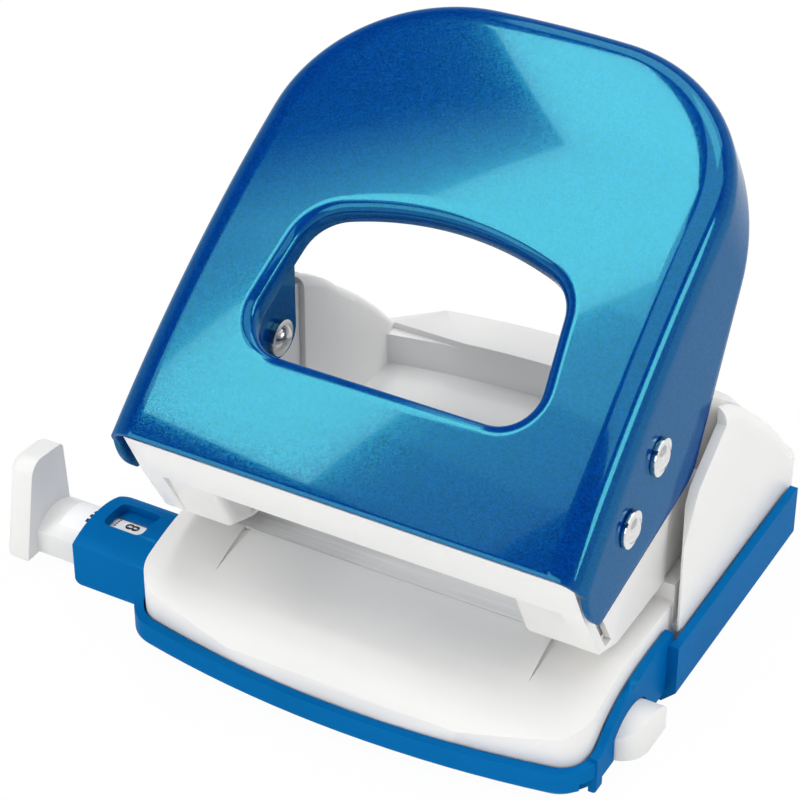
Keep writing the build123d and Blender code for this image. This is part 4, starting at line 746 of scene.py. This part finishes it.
def lever_mesh(sizes):
    """Closed mesh of the lever: outer and inner skin joined along every edge of the sheet."""
    shape = LeverShape(sizes)
    mesh = bmesh.new()

    def strip(first, second, closed):
        count = len(first)
        for k in range(count if closed else count - 1):
            mesh.faces.new((first[k], first[(k + 1) % count], second[(k + 1) % count], second[k]))

    def sheet_edge(rings, rows):
        foot = rings[-1][len(rows[0]):]
        ends = [row[-1] for row in rows[::-1]] + foot + [row[0] for row in rows]
        return ends + rows[-1][1:-1]

    skins = []
    for depth in (0.0, sizes.sheet):
        rings, rows = shape.rings(depth)
        rings = [[mesh.verts.new(p) for p in shape.world(ring)] for ring in rings]
        rows = [[mesh.verts.new(p) for p in shape.world(row)] for row in rows]
        for first, second in zip(rings, rings[1:]):
            strip(first, second, True)
        rows = [rings[-1][:len(rows[0])]] + rows
        for first, second in zip(rows, rows[1:]):
            strip(first, second, False)
        skins.append((rings, rows))
    outer, inner = skins
    strip(outer[0][0], inner[0][0], True)
    strip(sheet_edge(*outer), sheet_edge(*inner), True)
    for face in mesh.faces:
        face.smooth = True
    blade = shape.ear()
    faces_x = (sizes.ear_inner, sizes.ear_inner + sizes.sheet)
    for side in (-1, 1):
        ends = [[mesh.verts.new((side * x, *spot)) for spot in blade] for x in faces_x]
        strip(ends[0], ends[1], True)
        mesh.faces.new(ends[0])
        mesh.faces.new(ends[1])
    bmesh.ops.recalc_face_normals(mesh, faces=mesh.faces)
    data = bpy.data.meshes.new("lever_panel")
    mesh.to_mesh(data)
    mesh.free()
    return data


# Springs and print


def coil_tree():
    """Tree that winds a wire into a spring."""
    tree, inputs = geometry_tree("wound_spring", {
        "Turns": FLOAT, "Mean Radius": FLOAT, "Wire Radius": FLOAT,
        "Low": VECTOR, "Height": FLOAT, "Material": MATERIAL,
    })
    spiral = add_node(tree, "GeometryNodeCurveSpiral", {
        "Resolution": COIL_STEPS, "Rotations": inputs["Turns"], "Height": inputs["Height"],
        "Start Radius": inputs["Mean Radius"], "End Radius": inputs["Mean Radius"],
    })
    section = add_node(
        tree, "GeometryNodeCurvePrimitiveCircle", {"Resolution": WIRE_SIDES, "Radius": inputs["Wire Radius"]}
    )
    wire = add_node(tree, "GeometryNodeCurveToMesh", {
        "Curve": spiral.outputs["Curve"], "Profile Curve": section.outputs["Curve"], "Fill Caps": True,
    })
    move = add_node(
        tree, "GeometryNodeTransform", {"Geometry": wire.outputs["Mesh"], "Translation": inputs["Low"]}
    )
    return end_geometry(tree, inputs, move.outputs["Geometry"])


def dash_tree():
    """Tree that sets a row of printed dashes."""
    tree, inputs = geometry_tree("printed_dashes", {
        "Count": WHOLE, "Size": VECTOR, "Pitch": VECTOR,
        "Start": VECTOR, "Material": MATERIAL,
    })
    row = add_node(tree, "GeometryNodeMeshLine", {
        "Count": inputs["Count"], "Start Location": inputs["Start"], "Offset": inputs["Pitch"],
    })
    dash = add_node(tree, "GeometryNodeMeshCube", {"Size": inputs["Size"]})
    spread = add_node(tree, "GeometryNodeInstanceOnPoints", {
        "Points": row.outputs["Mesh"], "Instance": dash.outputs["Mesh"],
    })
    return end_geometry(tree, inputs, spread.outputs["Instances"])


def plain_mesh(holder):
    """Plain mesh of an object with its modifiers applied, in place of the object."""
    bpy.context.view_layer.update()
    mesh = bpy.data.meshes.new_from_object(holder.evaluated_get(bpy.context.evaluated_depsgraph_get()))
    bpy.data.objects.remove(holder)
    return mesh


def grown_mesh(name, tree, values):
    """Plain mesh made by a Geometry Nodes tree with the given inputs."""
    holder = add_object(name, bpy.data.meshes.new(name))
    modifier = holder.modifiers.new(name, "NODES")
    modifier.node_group = tree
    sockets = {item.name: item.identifier for item in tree.interface.items_tree if item.in_out == "INPUT"}
    for key, value in values.items():
        modifier[sockets[key]] = value
    return plain_mesh(holder)


def text_mesh(words, height, weight, ink):
    """Mesh of a short printed number, lying flat with its middle at the origin."""
    curve = bpy.data.curves.new("print", "FONT")
    curve.body = words
    curve.size = height
    curve.extrude = ink / 2
    curve.offset = weight
    curve.align_x = "CENTER"
    curve.align_y = "CENTER"
    return plain_mesh(add_object("print", curve))


def wrap(mesh, crest, radius):
    """Lays flat print on a rounded top whose crest runs along X."""
    for vertex in mesh.vertices:
        across = vertex.co.y - crest.y
        vertex.co.z += crest.z - radius + math.sqrt(radius ** 2 - across ** 2)


# Operators


class PUNCH_OT_lever(bpy.types.Operator):
    """Build the lacquered lever"""

    bl_idname = "punch.lever"
    bl_label = "Lever"

    def execute(self, context):
        mesh = lever_mesh(settings(context).lever)
        piece = add_piece("lever_panel", mesh, "blue_lacquer", "lever", ("lever_shell",))
        soften(piece, "sheet_edges", SHEET_EDGE, SHEET_EDGE_ANGLE)
        return {"FINISHED"}


class PUNCH_OT_mouldings(bpy.types.Operator):
    """Finish the white base, bridge cover and guide rail and the blue chip tray"""

    bl_idname = "punch.mouldings"
    bl_label = "Mouldings"

    def execute(self, context):
        for name in ("base_shell", "bridge_cover", "guide_rail"):
            dress(name, "white_moulding", MOULDED_EDGE)
        dress("chip_tray", "blue_moulding", TRAY_EDGE)
        return {"FINISHED"}


class PUNCH_OT_steelwork(bpy.types.Operator):
    """Finish the frame, the die plate, the punches and their bushes"""

    bl_idname = "punch.steelwork"
    bl_label = "Steelwork"

    def execute(self, context):
        for name in ("bridge_frame", "pivot_washers"):
            dress(name, "rolled_steel", PLATE_EDGE)
        dress("die_plate", "satin_steel", PLATE_EDGE)
        for side in ("left", "right"):
            dress(f"{side}_punch", "ground_steel", PLATE_EDGE)
            dress(f"{side}_punch_head", "ground_steel", HEAD_EDGE)
            dress(f"{side}_guide_bush", "dark_steel", TURNED_EDGE)
            dress(f"{side}_spring_seat", "dark_steel", PLATE_EDGE)
        return {"FINISHED"}


class PUNCH_OT_fasteners(bpy.types.Operator):
    """Finish the rivets, caps, screws and the hinge pin"""

    bl_idname = "punch.fasteners"
    bl_label = "Fasteners"

    def execute(self, context):
        for name in ("pivot_rivets", "drive_pins"):
            dress(name, "bright_plating", RIVET_EDGE)
        dress("drive_clips", "ground_steel", RIVET_EDGE)
        for name in ("frame_screws", "tray_hinge_pin"):
            dress(name, "dark_steel", TURNED_EDGE)
        return {"FINISHED"}


class PUNCH_OT_springs(bpy.types.Operator):
    """Wind the two return springs"""

    bl_idname = "punch.springs"
    bl_label = "Springs"

    def execute(self, context):
        sizes = settings(context).spring
        tree = coil_tree()
        for name in ("left", "right"):
            low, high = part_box(f"{name}_punch")
            middle = (low + high) / 2
            mesh = grown_mesh(f"{name}_coil", tree, {
                "Turns": float(sizes.turns), "Height": sizes.high - sizes.low,
                "Mean Radius": sizes.mean_radius, "Wire Radius": sizes.wire_radius,
                "Low": (middle.x, middle.y, sizes.low), "Material": finish_material("rolled_steel"),
            })
            mesh.polygons.foreach_set("use_smooth", [True] * len(mesh.polygons))
            replaced = (f"{name}_spring",)
            piece = add_piece(f"{name}_coil", mesh, "rolled_steel", "base", replaced)
            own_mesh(piece)
        return {"FINISHED"}


class PUNCH_OT_label(bpy.types.Operator):
    """Finish the format strip and print it"""

    bl_idname = "punch.label"
    bl_label = "Label"

    def execute(self, context):
        sizes = settings(context).label
        dress("format_label", "label_paper", edge=0.0)
        low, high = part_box("format_label")
        crest = (low + high) / 2
        crest.z = high.z + sizes.ink / 2
        words = text_mesh(sizes.number, sizes.number_height, sizes.number_weight, sizes.ink)
        move = Matrix.Translation((sizes.number_place, sizes.middle, 0.0))
        words.transform(move @ Matrix.Rotation(-math.pi / 2, 4, "Z"))
        wrap(words, crest, sizes.crest_radius)
        add_piece("label_number", words, "label_ink", "guide")
        tree = dash_tree()
        for name, place, scale in (
            ("label_line", sizes.line_place, 1.0),
            ("label_next_line", sizes.next_line_place, sizes.next_line_scale),
        ):
            pitch = sizes.dash_pitch * scale
            dashes = grown_mesh(name, tree, {
                "Count": sizes.dashes, "Pitch": (0.0, pitch, 0.0),
                "Size": (sizes.dash_width * scale, sizes.dash_length * scale, sizes.ink),
                "Start": (place, sizes.middle - pitch * (sizes.dashes - 1) / 2, 0.0),
                "Material": finish_material("label_ink"),
            })
            wrap(dashes, crest, sizes.crest_radius)
            add_piece(name, dashes, "label_ink", "guide")
        return {"FINISHED"}


class PUNCH_OT_stage(bpy.types.Operator):
    """Set the floor, the pale surroundings, the lamps and the camera"""

    bl_idname = "punch.stage"
    bl_label = "Stage"

    def execute(self, context):
        chosen = settings(context).stage
        context.scene.view_settings.view_transform = "Standard"
        self.floor(chosen)
        self.surroundings(context.scene)
        self.hanging_lamp("strip_box", level=7.0, size=(0.13, 0.86), place=(-0.398, -0.307), turn=STRIP_SLANT)
        self.hanging_lamp("strip_end", level=7.4, size=(0.109, 0.27), place=(-0.282, 0.166), turn=END_SLANT)
        self.fading_lamp(
            "strip_left", across=3.95, along=-3.59, start=1.59, limits=(1.95, 3.6),
            size=(0.123, 0.86), place=(-0.514, -0.256), turn=STRIP_SLANT,
        )
        self.lamp_row(
            "strip_right", levels=(3.2, 2.3, 1.5, 1.1),
            size=(0.125, 0.20), first=(-0.175, -0.109), turn=STRIP_SLANT,
        )
        self.hanging_lamp("wide_box", level=1.6, size=(0.9, 1.2), place=(0.42, 0.2), turn=0.0)
        self.aimed_lamp("front_box", level=2.4, size=(1.3, 0.7), place=(-0.2, -1.1, 0.5), target_height=0.04)
        self.aimed_lamp("side_box", level=5.6, size=(0.66, 0.24), place=(1.0, 0.05, 0.55), target_height=0.07)
        self.aimed_lamp("rear_box", level=2.3, size=(1.0, 0.6), place=(0.0, 0.75, 0.95), target_height=0.04)
        self.camera(context.scene, chosen)
        return {"FINISHED"}

    def floor(self, chosen):
        """Pale floor that keeps the shadow and shows white to the camera and in reflections."""
        mesh = bpy.data.meshes.new("floor")
        corners = [(x * FLOOR_REACH, y * FLOOR_REACH, 0) for x, y in ((-1, -1), (1, -1), (1, 1), (-1, 1))]
        mesh.from_pydata(corners, [], [(0, 1, 2, 3)])
        material = bpy.data.materials.new("floor_paper")
        material.use_nodes = True
        tree = material.node_tree
        shader = tree.nodes["Principled BSDF"]
        shader.inputs["Base Color"].default_value = (*chosen.floor, 1.0)
        shader.inputs["Roughness"].default_value = FLOOR_ROUGHNESS
        glow = add_node(tree, "ShaderNodeEmission", {"Strength": 1.0})
        rays = tree.nodes.new("ShaderNodeLightPath").outputs
        seen = math_node(tree, "MAXIMUM", rays["Is Camera Ray"], rays["Is Glossy Ray"])
        seen = math_node(tree, "MAXIMUM", seen, rays["Is Transmission Ray"])
        part = math_node(tree, "MULTIPLY", seen, chosen.floor_glow)
        mix = add_node(tree, "ShaderNodeMixShader", {0: part, 1: shader.outputs[0], 2: glow.outputs[0]})
        link(tree, mix.outputs[0], tree.nodes["Material Output"].inputs["Surface"])
        mesh.materials.append(material)
        floor = add_object("floor", mesh)

    def surroundings(self, scene):
        """Pale round the horizon and dark overhead."""
        scene.world = bpy.data.worlds.new("studio")
        scene.world.use_nodes = True
        tree = scene.world.node_tree
        place = tree.nodes.new("ShaderNodeTexCoord")
        split = add_node(tree, "ShaderNodeSeparateXYZ", {0: place.outputs["Generated"]})
        ramp = add_node(tree, "ShaderNodeValToRGB", {"Fac": split.outputs["Z"]})
        ramp.color_ramp.interpolation = "EASE"
        for stop, (height, grey) in zip(ramp.color_ramp.elements, (HORIZON, OVERHEAD)):
            stop.position, stop.color = height, (grey, grey, grey, 1.0)
        link(tree, ramp.outputs["Color"], tree.nodes["Background"].inputs["Color"])

    def soft_lamp(self, name, level, size, place):
        """Rectangular soft lamp of a given brightness."""
        light = bpy.data.lights.new(name, "AREA")
        light.shape = "RECTANGLE"
        light.size, light.size_y = size
        light.energy = level * math.pi * size[0] * size[1]
        holder = add_object(name, light)
        holder.location = place
        holder.visible_camera = False
        return holder

    def hanging_lamp(self, name, level, size, place, turn):
        """Soft lamp that hangs level and is turned about the vertical."""
        holder = self.soft_lamp(name, level, size, (*place, LAMP_HEIGHT))
        holder.rotation_euler = (0.0, 0.0, turn)
        return holder

    def fading_lamp(self, name, across, along, start, limits, size, place, turn):
        """Hanging lamp that brightens across and dims along it, under a limit that rises."""
        light = self.hanging_lamp(name, 1.0, size, place, turn).data
        light.use_nodes = True
        tree = light.node_tree
        spot = tree.nodes.new("ShaderNodeNewGeometry")
        split = add_node(tree, "ShaderNodeSeparateXYZ", {0: spot.outputs["Parametric"]}).outputs
        lengthwise = math_node(tree, "MULTIPLY_ADD", split["Y"], along, start)
        crosswise = math_node(tree, "MULTIPLY_ADD", split["X"], across, lengthwise)
        limit = map_range(tree, split["Y"], *LIMIT_SPAN, *limits)
        level = add_node(tree, "ShaderNodeClamp", {"Value": crosswise, "Max": limit})
        link(tree, level.outputs[0], tree.nodes["Emission"].inputs["Strength"])

    def lamp_row(self, name, levels, size, first, turn):
        """Row of hanging lamps, end to end from the rear, each with its own brightness."""
        for step, level in enumerate(levels):
            reach = step * size[1]
            place = (first[0] + math.sin(turn) * reach, first[1] - math.cos(turn) * reach)
            self.hanging_lamp(f"{name}_{step}", level, size, place, turn)

    def aimed_lamp(self, name, level, size, place, target_height):
        """Soft lamp aimed at a height above the middle of the table."""
        aim = (Vector((0.0, 0.0, target_height)) - Vector(place)).to_track_quat("-Z", "Y")
        self.soft_lamp(name, level, size, place).rotation_euler = aim.to_euler()

    def camera(self, scene, chosen):
        """Camera at the viewing angle of the picture."""
        data = bpy.data.cameras.new("camera")
        data.lens = chosen.lens
        data.sensor_width = SENSOR_WIDTH
        scene.camera = add_object("camera", data)
        scene.camera.location = chosen.camera
        aim = Vector(chosen.target) - Vector(chosen.camera)
        scene.camera.rotation_euler = aim.to_track_quat("-Z", "Y").to_euler()


OPERATORS = (
    PUNCH_OT_lever,
    PUNCH_OT_mouldings,
    PUNCH_OT_steelwork,
    PUNCH_OT_fasteners,
    PUNCH_OT_springs,
    PUNCH_OT_label,
    PUNCH_OT_stage,
)


class PUNCH_PT_panel(bpy.types.Panel):
    """Buttons for the pieces of the punch"""

    bl_idname = "PUNCH_PT_panel"
    bl_label = "Paper punch"
    bl_space_type = "VIEW_3D"
    bl_region_type = "UI"
    bl_category = "Punch"

    def draw(self, context):
        for operator in OPERATORS:
            self.layout.operator(operator.bl_idname)


CLASSES = (
    LeverSizes, SpringSizes, LabelSizes, Finishes, StageSettings, PunchSettings, *OPERATORS, PUNCH_PT_panel,
)


def register():
    """Adds the classes and the scene's settings."""
    for item in CLASSES:
        bpy.utils.register_class(item)
    bpy.types.Scene.punch_settings = PointerProperty(type=PunchSettings)


def unregister():
    """Removes the scene's settings and the classes."""
    del bpy.types.Scene.punch_settings
    for item in reversed(CLASSES):
        bpy.utils.unregister_class(item)


def main():
    """Registers the classes and runs every operator in turn, which dresses the punch."""
    register()
    for operator in OPERATORS:
        group, name = operator.bl_idname.split(".")
        getattr(getattr(bpy.ops, group), name)()


if __name__ == "__main__":
    main()
